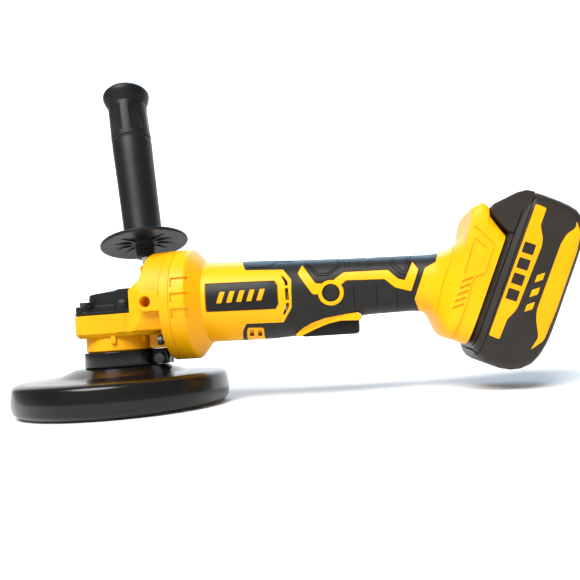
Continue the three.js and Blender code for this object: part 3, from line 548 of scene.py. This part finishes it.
def opening_tools():
    """Paddle opening, battery channel and vents."""
    channel = prism([rail(*p) for p in [(118, 184), (206, 184), (206, 200), (118, 200)]], -24.5, 24.5)
    vents = [
        [(115.4, 77.3), (117.2, 76.2), (119.5, 73), (119.6, 70.6), (117.8, 70.4), (117.6, 72.6)],
        [(117.6, 68.9), (119.7, 69), (119.9, 61.5), (117.8, 61.4)],
        [(117.8, 59.5), (119.9, 59.6), (119.3, 56.4), (116, 51.8), (115.6, 53.6), (117.6, 56.8)],
    ]
    return [paddle_opening(), channel, *[prism(softened(v, 0.4)) for v in vents]]


def foot_engraving(around):
    """The sunk panel, slanted louvres and stepped edge on the battery foot."""
    panel = softened([(175.6, 179.4), (172.2, 187.7), (159.6, 188.4), (153.1, 180.3)], 0.6)
    step = [
        (181, 176.9), (173.9, 191.2), (157.6, 191.7), (153.7, 187), (149.9, 186.3), (137.9, 187.4),
        (125.3, 187.2), (112, 186), (112, 187.4), (125.3, 188.6), (137.9, 188.8), (149.4, 187.7),
        (153, 188.4), (157.4, 193.2), (174.8, 192.6), (182.4, 177.6),
    ]
    crease = ribbon([rail(*p) for p in [(176, 170.2), (160.6, 170.9), (142.3, 171.5), (126, 174)]], 0.5)
    louvres = []
    for k in range(5):
        u = 149.4 - 4.2 * k
        louvre = [(u, 180.9), (u + 4.2, 185.8), (u + 2.2, 185.9), (u - 1.6, 181)]
        louvres.append(prism([rail(*p) for p in louvre]))
    return [
        engraving([[rail(*p) for p in panel]], 0.6, around),
        engraving([[rail(*p) for p in step]], 0.5, around),
        engraving([crease], 0.3, around),
        common(cut(copy(around), body_form(0.9)), join(*louvres)),
    ]


def collar_pockets():
    """Three shallow pockets on each side of the collar."""
    floor = [(0, 40), (35.4, 40), (35.4, 55.2), (32.6, 58), (0, 58)]
    made = []
    for low, high in ((74.4, 80.3), (65, 70.5), (55.1, 60.9)):
        made.append(cut(block(46.9, 57.4, -40, 40, low, high), lathe("tool", floor, 96, "x")))
    return made


def housing():
    around = body_form(-1, "around")
    shell = body_form(0, "housing_left")
    hollow = common(body_form(4.2), block(40, 200, -60, 60, 0, 130))
    cut(shell, hollow, seat(RUBBER_EDGE, 2.2, around), seat(PLATE_EDGE, 1.2, around))
    join(shell, prism(LIP, -17, 17), seat_fill(around))
    cut(shell, *opening_tools(), *foot_engraving(around), *collar_pockets(), ring_tool(5.6))
    near_half(shell)
    other = mirrored(shell, "housing_right")
    finish_piece(shell, "yellow_plastic", "housing", "housing_left")
    finish_piece(other, "yellow_plastic", "housing", "housing_right")
    bpy.data.objects.remove(around)


def seat_fill(around):
    """The chevrons and ring that stand up through the rubber, flush with it."""
    return common(cut(body_form(0), body_form(3)), stripes(0))


def grip():
    around = body_form(-1, "around")
    skin = common(cut(body_form(0, "grip_rubber_left"), body_form(1.6)), prism(softened(RUBBER_EDGE, 1)))
    cut(skin, stripes(0.35), paddle_opening(), widened(prism(LIP, -17.3, 17.3), 0.3))
    cut(skin, widened(prism(softened(WINDOW, 1.8)), 0.3), grip_engraving(around))
    near_half(skin)
    other = mirrored(skin, "grip_rubber_right")
    finish_piece(skin, "black_rubber", "housing", "grip_rubber_left")
    finish_piece(other, "black_rubber", "housing", "grip_rubber_right")
    bpy.data.objects.remove(around)


def grip_engraving(around):
    """The pockets and grooves moulded into the rubber."""
    lines = [
        ribbon([(130.4, 84.6), (138.4, 75), (146, 75.2), (153, 80.6), (153.2, 92)], 0.5),
        ribbon([(132.4, 83.6), (139.2, 76.4), (145.4, 76.6), (151.4, 81.2), (151.6, 92)], 0.5),
        ribbon([(156, 79.4), (156.2, 92)], 0.6),
        ribbon([(158.6, 79.2), (158.8, 92)], 0.6),
        ribbon([(170.6, 78.8), (170.6, 92)], 0.5),
        ribbon([(172.2, 78.8), (172.2, 92)], 0.5),
        ribbon([(184.6, 92), (184.8, 78.2), (190.4, 72.2), (193.8, 71.6), (197.4, 82.6), (200, 92)], 0.5),
        ribbon([(186.6, 92), (186.8, 79.2), (191.4, 74), (193, 73.8), (195.8, 82.8), (197.6, 92)], 0.5),
        ribbon([(93, 86.2), (94.6, 84.2), (108, 83.6), (111.6, 87.2), (122, 86.6)], 0.5),
        ribbon([(140, 57.2), (154, 56.6)], 0.4),
        ribbon([(160.5, 67), (160.5, 54)], 0.4),
        ribbon([(174.5, 67), (174.5, 53)], 0.4),
        ribbon([(187, 61), (187, 52)], 0.4),
    ]
    return engraving(lines, 0.7, around)


def window():
    """The yellow vent frame low on each side, with its two openings."""
    made = common(cut(body_form(-0.1, "window_left"), body_form(2.1)), prism(softened(WINDOW, 1.8)))
    near_half(cut(made, *[prism(edge) for edge in WINDOW_SLOTS]))
    other = mirrored(made, "window_right")
    for each in (made, other):
        finish_piece(each, "yellow_plastic", "housing")


def name_plates():
    """Blank dark plates with a plain row of slanted bars."""
    edge = softened([(x + (0.35 if x < 90 else -0.35), z) for x, z in PLATE_EDGE], 0.6)
    shrunk = [(90 + (x - 90) * 0.985, 65.8 + (z - 65.8) * 0.96) for x, z in edge]
    plate = common(cut(body_form(-0.25, "name_plate_left"), body_form(0.85)), prism(shrunk))
    near_half(plate, 0)
    bars = common(cut(body_form(-0.45, "plate_bars_left"), body_form(0.1)), plate_bars())
    near_half(bars, 0)
    cut(plate, widened(plate_bars(), 0.05))
    other = mirrored(plate, "name_plate_right")
    finish_piece(plate, "black_plastic", "housing", "name_plate_left")
    finish_piece(other, "black_plastic", "housing", "name_plate_right")
    for each in (bars, mirrored(bars, "plate_bars_right")):
        finish_piece(each, "band_yellow", "housing", slot="yellow_plastic")


def plate_bars():
    """Five slanted bars, as one tool."""
    bars = []
    for x in (74, 80.4, 86.8, 93.2, 99.6):
        bars.append(prism(softened([(x, 62.4), (x + 3.2, 62.3), (x + 5.8, 69.4), (x + 2.6, 69.5)], 0.4)))
    return join(*bars)


def plugs():
    for side, name in ((-1, "plug_left"), (1, "plug_right")):
        made = rod((PLUG[0], 14 * side, PLUG[1]), (0, side, 0), 5.2, 6, 48, name)
        bevel(made, 0.5)
        finish_piece(made, "black_rubber", "housing", name)


# Gear head

HEAD_SCREWS = [(-16.3, -18.6), (-16.3, 18.6), (10.7, -20.6), (10.7, 20.6)]
LOCK_PLACE = (4.5, 11.1, 0)


def moved(made, place, turn=None):
    """The piece turned about the origin and then moved by a place in millimetres."""
    made.data.transform(Matrix.Translation(Vector(place) * MM) @ (turn or Matrix.Identity(4)))
    return made


def upright_to(axis):
    """The turn that lays the Z axis along another."""
    return Vector((0, 0, 1)).rotation_difference(Vector(axis)).to_matrix().to_4x4()


def head_screw_tools(r, z, length, segments=32):
    return [rod((x, y, z), (0, 0, 1), r, length, segments) for x, y in HEAD_SCREWS]


def gear_housing():
    outline = softened([
        (16.9, 48.5), (16.9, 75.6), (20.5, 77.5), (24, 81), (25.6, 86.5), (26, 92.3), (26.8, 96.8),
        (28.7, 99.6), (31, 100.7), (39.1, 100.7), (39.1, 48.5),
    ], 1.5)
    made = prism(outline, -50, 50, "gear_housing")
    plan = softened([
        (-30, -25.5), (12, -25.5), (27, -31.5), (39.1, -31.5), (39.1, 31.5), (27, 31.5), (12, 25.5),
        (-30, 25.5),
    ], 4)
    limit = lathe("tool", [(0, -40), (36.6, -40), (36.6, 39.1), (0, 39.1)], 128, "x")
    limit.data.transform(Matrix.Diagonal((1, 0.86, 1, 1)))
    common(made, slab(plan, 20, 110), limit)
    head = rounded_plan(-25.5, 34, -25.5, 25.5, 15.5)
    handle_boss = leaned(lathe("tool", [(0, -18), (5.3, -18), (5.3, -3.8), (4.5, -3), (0, -3)]))
    join(made, slab(head, 48.5, 60.7), handle_boss, *head_screw_tools(6, 48.5, 12.2, 48))
    under = extrusion("tool", [(0.92 * x, 0.92 * y, 45.9) for x, y in head], [(x, y, 48.6) for x, y in head])
    web = prism([(24.8, 49), (24.8, 38), (26, 36.7), (39.1, 36.7), (39.1, 49)], -14, 14)
    join(made, common(under, block(-40, 39.1, -40, 40, 40, 60)), web)
    cast(made, 0.5, 3)
    join(made, *gear_housing_crisp())
    return cut(made, *gear_housing_rooms())


def gear_housing_crisp():
    """The machined collar and the two side bosses, which keep their edges."""
    collar = [(0, 39.1), (35.8, 39.1), (36.6, 39.9), (36.6, 45.4), (36.4, 45.6), (0, 45.6)]
    boss = bevel(prism(rounded_plan(24.9, 44, 59.9, 73.2, 6.2), -36, 36), 0.9, 3, 60)
    common(boss, block(20, 39.4, -60, 60, 40, 90))
    return lathe("tool", collar, 160, "x"), boss


def gear_housing_rooms():
    """The rooms for cover, gears, bearing, pinion, fan and screws, and the three handle holes."""
    made = [
        block(-30, 16.9, -40, 40, 60.7, 110),
        lathe("tool", [(0, 52.3), (22, 52.3), (22, 62), (0, 62)]),
        lathe("tool", [(0, 44), (23.1, 44), (23.1, 48.4), (13.7, 48.4), (13.7, 53), (0, 53)]),
        lathe("tool", [(0, 0), (10.6, 0), (10.6, 23.5), (11.3, 23.5), (11.3, 34), (0, 34)], 96, "x"),
        lathe("tool", [(0, 33), (20, 33), (27.2, 40), (27.2, 46), (0, 46)], 96, "x"),
        leaned(rod((0, 0, -15), (0, 0, 1), 3.5, 25)),
    ]
    made += head_screw_tools(2.3, 52.7, 10)
    hole = [(0, -12), (3.4, -12), (3.4, -0.5), (3.8, 0), (3.8, 2), (0, 2)]
    for side in (-1, 1):
        made.append(moved(lathe("tool", hole, 48), (30.6, 36 * side, 66.3), upright_to((0, side, 0))))
    return made


def gear_cover():
    low = rounded_plan(-25.3, 30, -25.3, 25.3, 15.5)
    high = rounded_plan(-18, 30, -17.4, 17.4, 11)
    made = slab(low, 61, 62.5, "gear_cover")
    ledge = extrusion("tool", [(x, y, 62.4) for x, y in low], [(x, y, 66.5) for x, y in high])
    side = softened([
        (-17.4, 62), (-17.4, 72.6), (-14, 74.6), (3.9, 76.4), (6.2, 77.3), (30, 77.5), (30, 62),
    ], 0.7)
    tier = common(prism(side, -17, 17), slab(rounded_plan(-17.4, 40, -17, 17, 11), 60, 90))
    join(made, ledge, tier, *head_screw_tools(5.9, 61, 5.8, 48))
    cut(made, block(16.6, 60, -60, 60, 60, 90))
    cast(made, 0.4, 2)
    well = [(0, 70.4), (4.8, 70.4), (4.8, 75.8), (5.4, 76.6), (5.4, 82), (0, 82)]
    gear_room = [(0, 60), (21, 60), (21, 61.4), (14.6, 64), (14.6, 66), (7.2, 66), (7.2, 73.8), (0, 73.8)]
    return cut(
        made,
        moved(lathe("tool", well, 48), LOCK_PLACE),
        lathe("tool", gear_room),
        lathe("tool", [(0, 8.5), (7.6, 8.5), (7.6, 18), (0, 18)], 64, "x"),
        moved(rod((0, 0, 60), (0, 0, 1), 2.4, 20), LOCK_PLACE),
        *head_screw_tools(2.3, 60, 10),
    )


def spindle_neck():
    profile = [
        (20.4, 21.5), (20.4, 36.2), (22.2, 36.6), (22.8, 37.2), (22.8, 47.6), (22.4, 48.2), (16.2, 48.2),
        (16.2, 24.3), (9.5, 24.3), (9.5, 21.5), (20.4, 21.5),
    ]
    made = lathe("spindle_neck", profile)
    tabs = []
    for angle in (-80, -28, 100, 152):
        tabs.append(turned_about(bevel(block(21, 24.4, -1.5, 1.5, 41.4, 48.2), 0.4), angle))
    return join(made, *tabs)


def lock_button():
    profile = [(0, 60.2), (2, 60.2), (2, 74.4), (4.4, 74.4), (4.4, 77.7), (3.8, 78.4), (3, 78.1), (0, 78)]
    return moved(lathe("lock_button", profile, 48), LOCK_PLACE)


def gear_head():
    finish_piece(gear_housing(), "yellow_cast", "housing", "gear_housing")
    finish_piece(gear_cover(), "black_plastic", "housing", "gear_cover")
    finish_piece(spindle_neck(), "yellow_cast", "housing", "spindle_neck")
    finish_piece(lock_button(), "black_plastic", "lock_button", "lock_button")


# Guard


def guard():
    top = softened([
        (20.8, 35.5), (22, 35.5), (22, 25.8), (30, 25.8), (43, 20.6), (66, 19.4), (70.3, 17.6), (71.5, 7),
        (70.4, 1), (66.5, -1.7), (63.2, -2), (63.2, -0.6), (66.6, 0.4), (68.7, 3), (69.6, 7), (68.4, 16),
        (65.6, 17.4), (43, 18.6), (30, 23.8), (20.8, 23.8),
    ], 2.2)
    shell = lathe("guard_shell", [*top, top[0]], 160)
    kept = lathe("tool", [(0, -12), (45.5, -12), (45.5, 24), (0, 24)], 128)
    cut(shell, cut(block(-90, 90, 24, 90, -10, 22.5), kept))
    finish_piece(shell, "black_paint", "guard", "guard_shell")
    guard_band()


def guard_band():
    ring = softened([(22.3, 26.2), (24.5, 26.2), (24.5, 36.2), (22.3, 36.2)], 0.5)
    band = lathe("guard_band", [*ring, ring[0]], 128)
    lugs = bevel(slab(rounded_plan(22.6, 35, -7, 7, 2.5), 26.2, 36.2), 0.5)
    cut(lugs, lathe("tool", [(0, 20), (22.3, 20), (22.3, 40), (0, 40)], 128))
    join(band, lugs)
    cut(band, block(18, 36, -1.2, 1.2, 20, 40), rod((29.5, -10, 29.8), (0, 1, 0), 2.3, 20))
    finish_piece(band, "black_paint", "guard", "guard_band")


# Side handle, drawn along its own axis

HANDLE_FOOT = (20.6, 2, 95.7)
HANDLE_AXIS = (-math.tan(math.radians(7.6)), math.tan(math.radians(10.5)), 1)


def leaned(made):
    """The piece taken from its own upright axis to the handle's place."""
    return moved(made, HANDLE_FOOT, upright_to(HANDLE_AXIS))


def turned_about(made, degrees):
    made.data.transform(Matrix.Rotation(math.radians(degrees), 4, "Z"))
    return made


def handle_grip():
    """Hub, flange and barrel in one, with ribs under the flange and six flats near the top."""
    outside = softened([
        (3.4, 3), (5.8, 3), (6.4, 3.6), (6.8, 13), (11, 14.2), (28.4, 12.4), (29.8, 12.6), (29.8, 14.2),
        (14.6, 17.6), (12.9, 20), (13.1, 40), (13.6, 70), (14, 89.6), (13.2, 90.4), (13.2, 91.4),
        (14, 92.2), (13.7, 119.2),
    ], 0.9, closed=False)
    profile = [*outside, (0, 119.2), (0, 41), (3.4, 41), outside[0]]
    made = lathe("handle_grip", profile, 128)
    join(made, *[turned_about(block(6, 20, -0.35, 0.35, 13.1, 14.4), 30 * k) for k in range(12)])
    for k in range(6):
        cut(made, turned_about(bevel(block(13.1, 16, -4.4, 4.4, 96, 117), 0.4), 60 * k + 8))
    return made


def handle_cap():
    edge = [(13.7, 119.5), (15.4, 123), (16.6, 127), (16.4, 129.6), (13.6, 132.2)]
    return lathe("handle_cap", [(0, 119.5), *softened(edge, 1.6, closed=False), (9, 132.9), (0, 133)], 96)


def handle_stud():
    """A stud with simple thread rings."""
    pitch = 1.25
    thread = [(0, -13)]
    for k in range(42):
        thread += [(2.8, -13 + pitch * k), (3.2, -12.4 + pitch * k)]
    return lathe("handle_stud", [*thread, (2.8, 39.9), (0, 39.9)], 48)


def side_handle():
    finish_piece(leaned(handle_grip()), "black_plastic", "side_handle", "handle_grip")
    finish_piece(leaned(handle_cap()), "black_plastic", "side_handle", "handle_cap")
    finish_piece(leaned(handle_stud()), "steel", "side_handle", "handle_stud")


# Paddle


def paddle():
    side = softened([
        (125.1, 38.4), (127, 37.4), (160.6, 37.2), (162, 38.2), (162.2, 45), (161.4, 51), (152, 52.6),
        (140, 52.6), (131.5, 50.6), (127, 48), (125.1, 44),
    ], 1.2)
    made = bevel(prism(side, -13.1, 13.1, "paddle"), 0.8)
    grooves = [prism(ribbon([(132 + 2.6 * k, 36), (132 + 2.6 * k, 38)], 0.7), -10, 10) for k in range(10)]
    cut(made, *grooves, rod((129.5, -20, 47), (0, 1, 0), 1.75, 40), rod((154, 0, 50.4), (0, 0, 1), 3.4, 6))
    finish_piece(made, "black_plastic", "paddle", "paddle")


# Battery, drawn in X and Z from its own directions

# Across the pack at each distance from the rail: u from and to, half width, corner radius.
PACK_SECTIONS = [
    (196.7, 120, 206.5, 33.2, 13), (198.2, 116.4, 210, 35, 14.5), (200.2, 112.8, 212.2, 36.3, 15),
    (202.6, 110, 213.5, 37, 15), (205.4, 108.2, 214, 37.4, 14.5), (209, 107.4, 214, 37.4, 14),
    (219, 107.4, 213.2, 37.4, 13), (225, 108.6, 212.4, 37.4, 13), (230, 111.2, 211, 37.4, 13),
    (234, 115, 207.9, 37.3, 13), (236.3, 119.8, 203.6, 36.6, 12.5), (237.7, 125.5, 197.8, 35.2, 11.5),
    (238.5, 131, 190.5, 33, 10), (238.8, 134, 187, 31, 9),
]
PACK_STEPS = 36


def pack_form(inset, v0=0.0, v1=300.0, name="tool"):
    """The pack's whole outer shape between two distances from the rail, moved in by an inset."""
    table = np.array(PACK_SECTIONS)
    first = table[0, 0] + inset
    last = table[-1, 0] - inset
    steps = np.concatenate([np.linspace(first, last, PACK_STEPS), table[:, 0]])
    rings = []
    for v in np.unique(np.clip(steps, max(v0, first), min(v1, last))):
        low, high, half, r = (np.interp(v, table[:, 0], table[:, k]) for k in range(1, 5))
        plan = rounded_plan(low + inset, high - inset, inset - half, half - inset, max(r - inset, 2))
        rings.append([(rail(u, v)[0], y, rail(u, v)[1]) for u, y in plan])
    return loft(name, rings)


def pack_prism(points, y0=-60, y1=60, radius=0.0):
    """An outline in the pack's own directions, carried across it."""
    return prism([rail(u, v) for u, v in (softened(points, radius) if radius else points)], y0, y1)


def pack_engraving(points, depth):
    """A thin groove along a line on both sides of the pack."""
    groove = prism(ribbon(on_rail(points, 2.4, False), 0.55))
    return common(cut(pack_form(-0.8), pack_form(depth)), groove)


def on_rail(points, radius, closed=True):
    """A softened outline or line, taken from the pack's own directions to X and Z."""
    return [rail(u, v) for u, v in softened(points, radius, closed)]


def battery_lower():
    made = pack_form(0, 203.75, 300, "battery_case_lower")
    return cut(made, pack_form(3, 190, 236.4))


def battery_upper():
    made = pack_form(0, 190, 203.45, "battery_case_upper")
    head = bevel(pack_prism([
        (184.9, 199), (184.9, 196.7), (188.7, 189.8), (192.7, 183.7), (197.3, 182.4), (202.4, 187.4),
        (208.4, 193.3), (211.4, 198), (211.9, 203.2), (200, 203.2),
    ], -36.6, 36.6, 1), 4.2, 6, 50)
    tower = bevel(pack_prism([(126, 184.7), (183.8, 184.7), (183.8, 199), (126, 199)], -24, 24), 0.8)
    edge = [(185.2, 199), (185.2, 196.7), (189, 190), (193, 184.2), (197, 189), (193, 199)]
    lip = bevel(pack_prism(edge, -36.2, 36.2), 0.8)
    join(made, head, lip, tower)
    slots = [pack_prism([(120, 180), (160, 180), (160, 191), (120, 191)], y - 1.2, y + 1.2) for y in (-9, 9)]
    seam = [(111, 204), (112, 201.2), (114, 199.6), (204.5, 199.6), (207, 201.2), (208, 204)]
    return cut(
        made,
        common(pack_form(3, 198.6, 220), block(200, 300, -34, 34, 0, 130)),
        pack_prism([(130, 187), (180, 187), (180, 200), (130, 200)], -20, 20),
        pack_prism([(193.4, 184.9), (203, 181), (212, 193), (209, 195.8), (193.4, 195.8)], -16, 16),
        *slots,
        pack_engraving(seam, 0.9),
    )


BAND_INNER = [
    (204.9, 205.4), (123.6, 204.7), (123.2, 211), (135.9, 211.5), (141.5, 214.2), (145, 214.9),
    (182.3, 216.3), (186.7, 215.4), (193.8, 211.8), (204.4, 211.9),
]
BAND_OUTER = [
    (202.9, 230.1), (198.5, 231), (193.8, 227.4), (187, 225.9), (146.3, 225.4), (140.7, 226.9),
    (131.7, 231.3), (123.1, 229.3), (131, 234.8), (150, 235.9), (186, 235.9), (196, 234.6),
]


def battery_marks():
    """Two plain bands on each side, with a row of bars like a charge gauge."""
    skin = cut(pack_form(-0.12), pack_form(0.4))
    gauge = [[(u, 206.6), (u + 6.5, 206.6), (u + 6.5, 213.2), (u, 213.2)] for u in (147, 156.5, 166, 175.5)]
    inner = cut(pack_prism(BAND_INNER, radius=1.2), *[pack_prism(bar, radius=0.5) for bar in gauge])
    slashes = [[(u, 219.2), (u + 4.4, 219.2), (u + 7.4, 223), (u + 3, 223)] for u in (143, 152, 161)]
    marks = {"inner": inner, "outer": pack_prism(BAND_OUTER, radius=2)}
    for k, slash in enumerate(slashes):
        marks[f"mark_{k + 1}"] = pack_prism(slash, radius=0.4)
    for part, tool in marks.items():
        for side, y0, y1 in (("left", -60, -30), ("right", 30, 60)):
            made = copy(tool, f"battery_{part}_{side}")
            common(made, block(150, 350, y0, y1, 0, 150), copy(skin))
            finish_piece(made, "band_yellow", "battery", slot="yellow_plastic")
        bpy.data.objects.remove(tool)
    bpy.data.objects.remove(skin)


def release_button():
    side = on_rail([(197.3, 185.6), (200.2, 185.6), (207.3, 193.7), (207.3, 195.2), (197.3, 195.2)], 0.5)
    made = bevel(prism(side, -15.4, 15.4, "release_button"), 0.5)
    for k in (2.2, 3.9, 5.6):
        rib = ribbon([rail(198 + k, 184 + 1.15 * k), rail(200.6 + k, 187.2 + 1.15 * k)], 0.5)
        cut(made, prism(rib, -12, 12))
    finish_piece(made, "black_plastic", "release_button", "release_button")


def battery():
    finish_piece(battery_lower(), "battery_plastic", "battery", "battery_case_lower")
    finish_piece(battery_upper(), "battery_plastic", "battery", "battery_case_upper")
    battery_marks()
    release_button()


# Studio

FLOOR_Z = -2.4
LENS = 40.34
CAMERA_PLACE = (168.9, -427.7, 45.0)
CAMERA_TURN = (-0.051, 0.120, -0.073)  # rotation vector, in radians


def studio():
    """White paper, broad daylight from the front and a blue sky panel above."""
    world = bpy.data.worlds.new("studio")
    bpy.context.scene.world = world
    world.use_nodes = True
    sky = world.node_tree.nodes["Background"]
    sky.inputs["Color"].default_value = (1, 1, 1, 1)
    sky.inputs["Strength"].default_value = 0.25
    paper()
    daylight = bpy.data.lights.new("daylight", "SUN")
    daylight.energy = 4.7
    daylight.angle = math.radians(38)
    daylight.color = (1.0, 0.985, 0.96)
    lamp = bpy.data.objects.new("daylight", daylight)
    lamp.rotation_mode = "QUATERNION"
    lamp.rotation_quaternion = Vector((0.22, 0.62, -0.75)).to_track_quat("-Z", "Y")
    bpy.context.scene.collection.objects.link(lamp)
    area_light("sky", (150, 2300, 2350), (150, 0, 60), 1.7, 45, (0.34, 0.68, 1.0))


def paper():
    """A floor and a far wall."""
    floor = [(-4000, -3000, FLOOR_Z), (4000, -3000, FLOOR_Z), (4000, 3000, FLOOR_Z), (-4000, 3000, FLOOR_Z)]
    wall = [(-4000, 3000, FLOOR_Z), (4000, 3000, FLOOR_Z), (4000, 3000, 4000), (-4000, 3000, 4000)]
    sheet = mesh_object("paper", floor + wall, [(0, 1, 2, 3), (4, 5, 6, 7)])
    made, tree, surface = shader("paper", 0.9, specular=0.1)
    white = ramp(tree, noise(tree, 3), (0.88, 0.88, 0.88), (0.9, 0.9, 0.9))
    tree.links.new(white, surface.inputs["Base Color"])
    sheet.data.materials.append(made)


def area_light(name, place, target, size, power, colour):
    data = bpy.data.lights.new(name, "AREA")
    data.size = size
    data.energy = power
    data.color = colour
    lamp = bpy.data.objects.new(name, data)
    lamp.location = Vector(place) * MM
    aim = Vector(target) - Vector(place)
    lamp.rotation_mode = "QUATERNION"
    lamp.rotation_quaternion = aim.to_track_quat("-Z", "Y")
    bpy.context.scene.collection.objects.link(lamp)


def camera():
    """A level view of the near side, turned a little towards the battery and rolled."""
    data = bpy.data.cameras.new("camera")
    data.sensor_width = 36
    data.lens = LENS
    data.clip_start = 0.01
    data.clip_end = 50
    seen = bpy.data.objects.new("camera", data)
    turn = Vector(CAMERA_TURN)
    rolled = Quaternion(turn.normalized(), turn.length).to_matrix()
    level = Matrix(((1, 0, 0), (0, 0, -1), (0, 1, 0)))
    rows = rolled @ level
    axes = Matrix((rows[0], -rows[1], -rows[2])).transposed()
    seen.matrix_world = Matrix.Translation(Vector(CAMERA_PLACE) * MM) @ axes.to_4x4()
    bpy.context.scene.collection.objects.link(seen)
    bpy.context.scene.camera = seen


dress_frame()
housing()
grip()
window()
name_plates()
plugs()
gear_head()
guard()
side_handle()
paddle()
battery()
studio()
camera()
bpy.context.scene.view_settings.view_transform = "Standard"
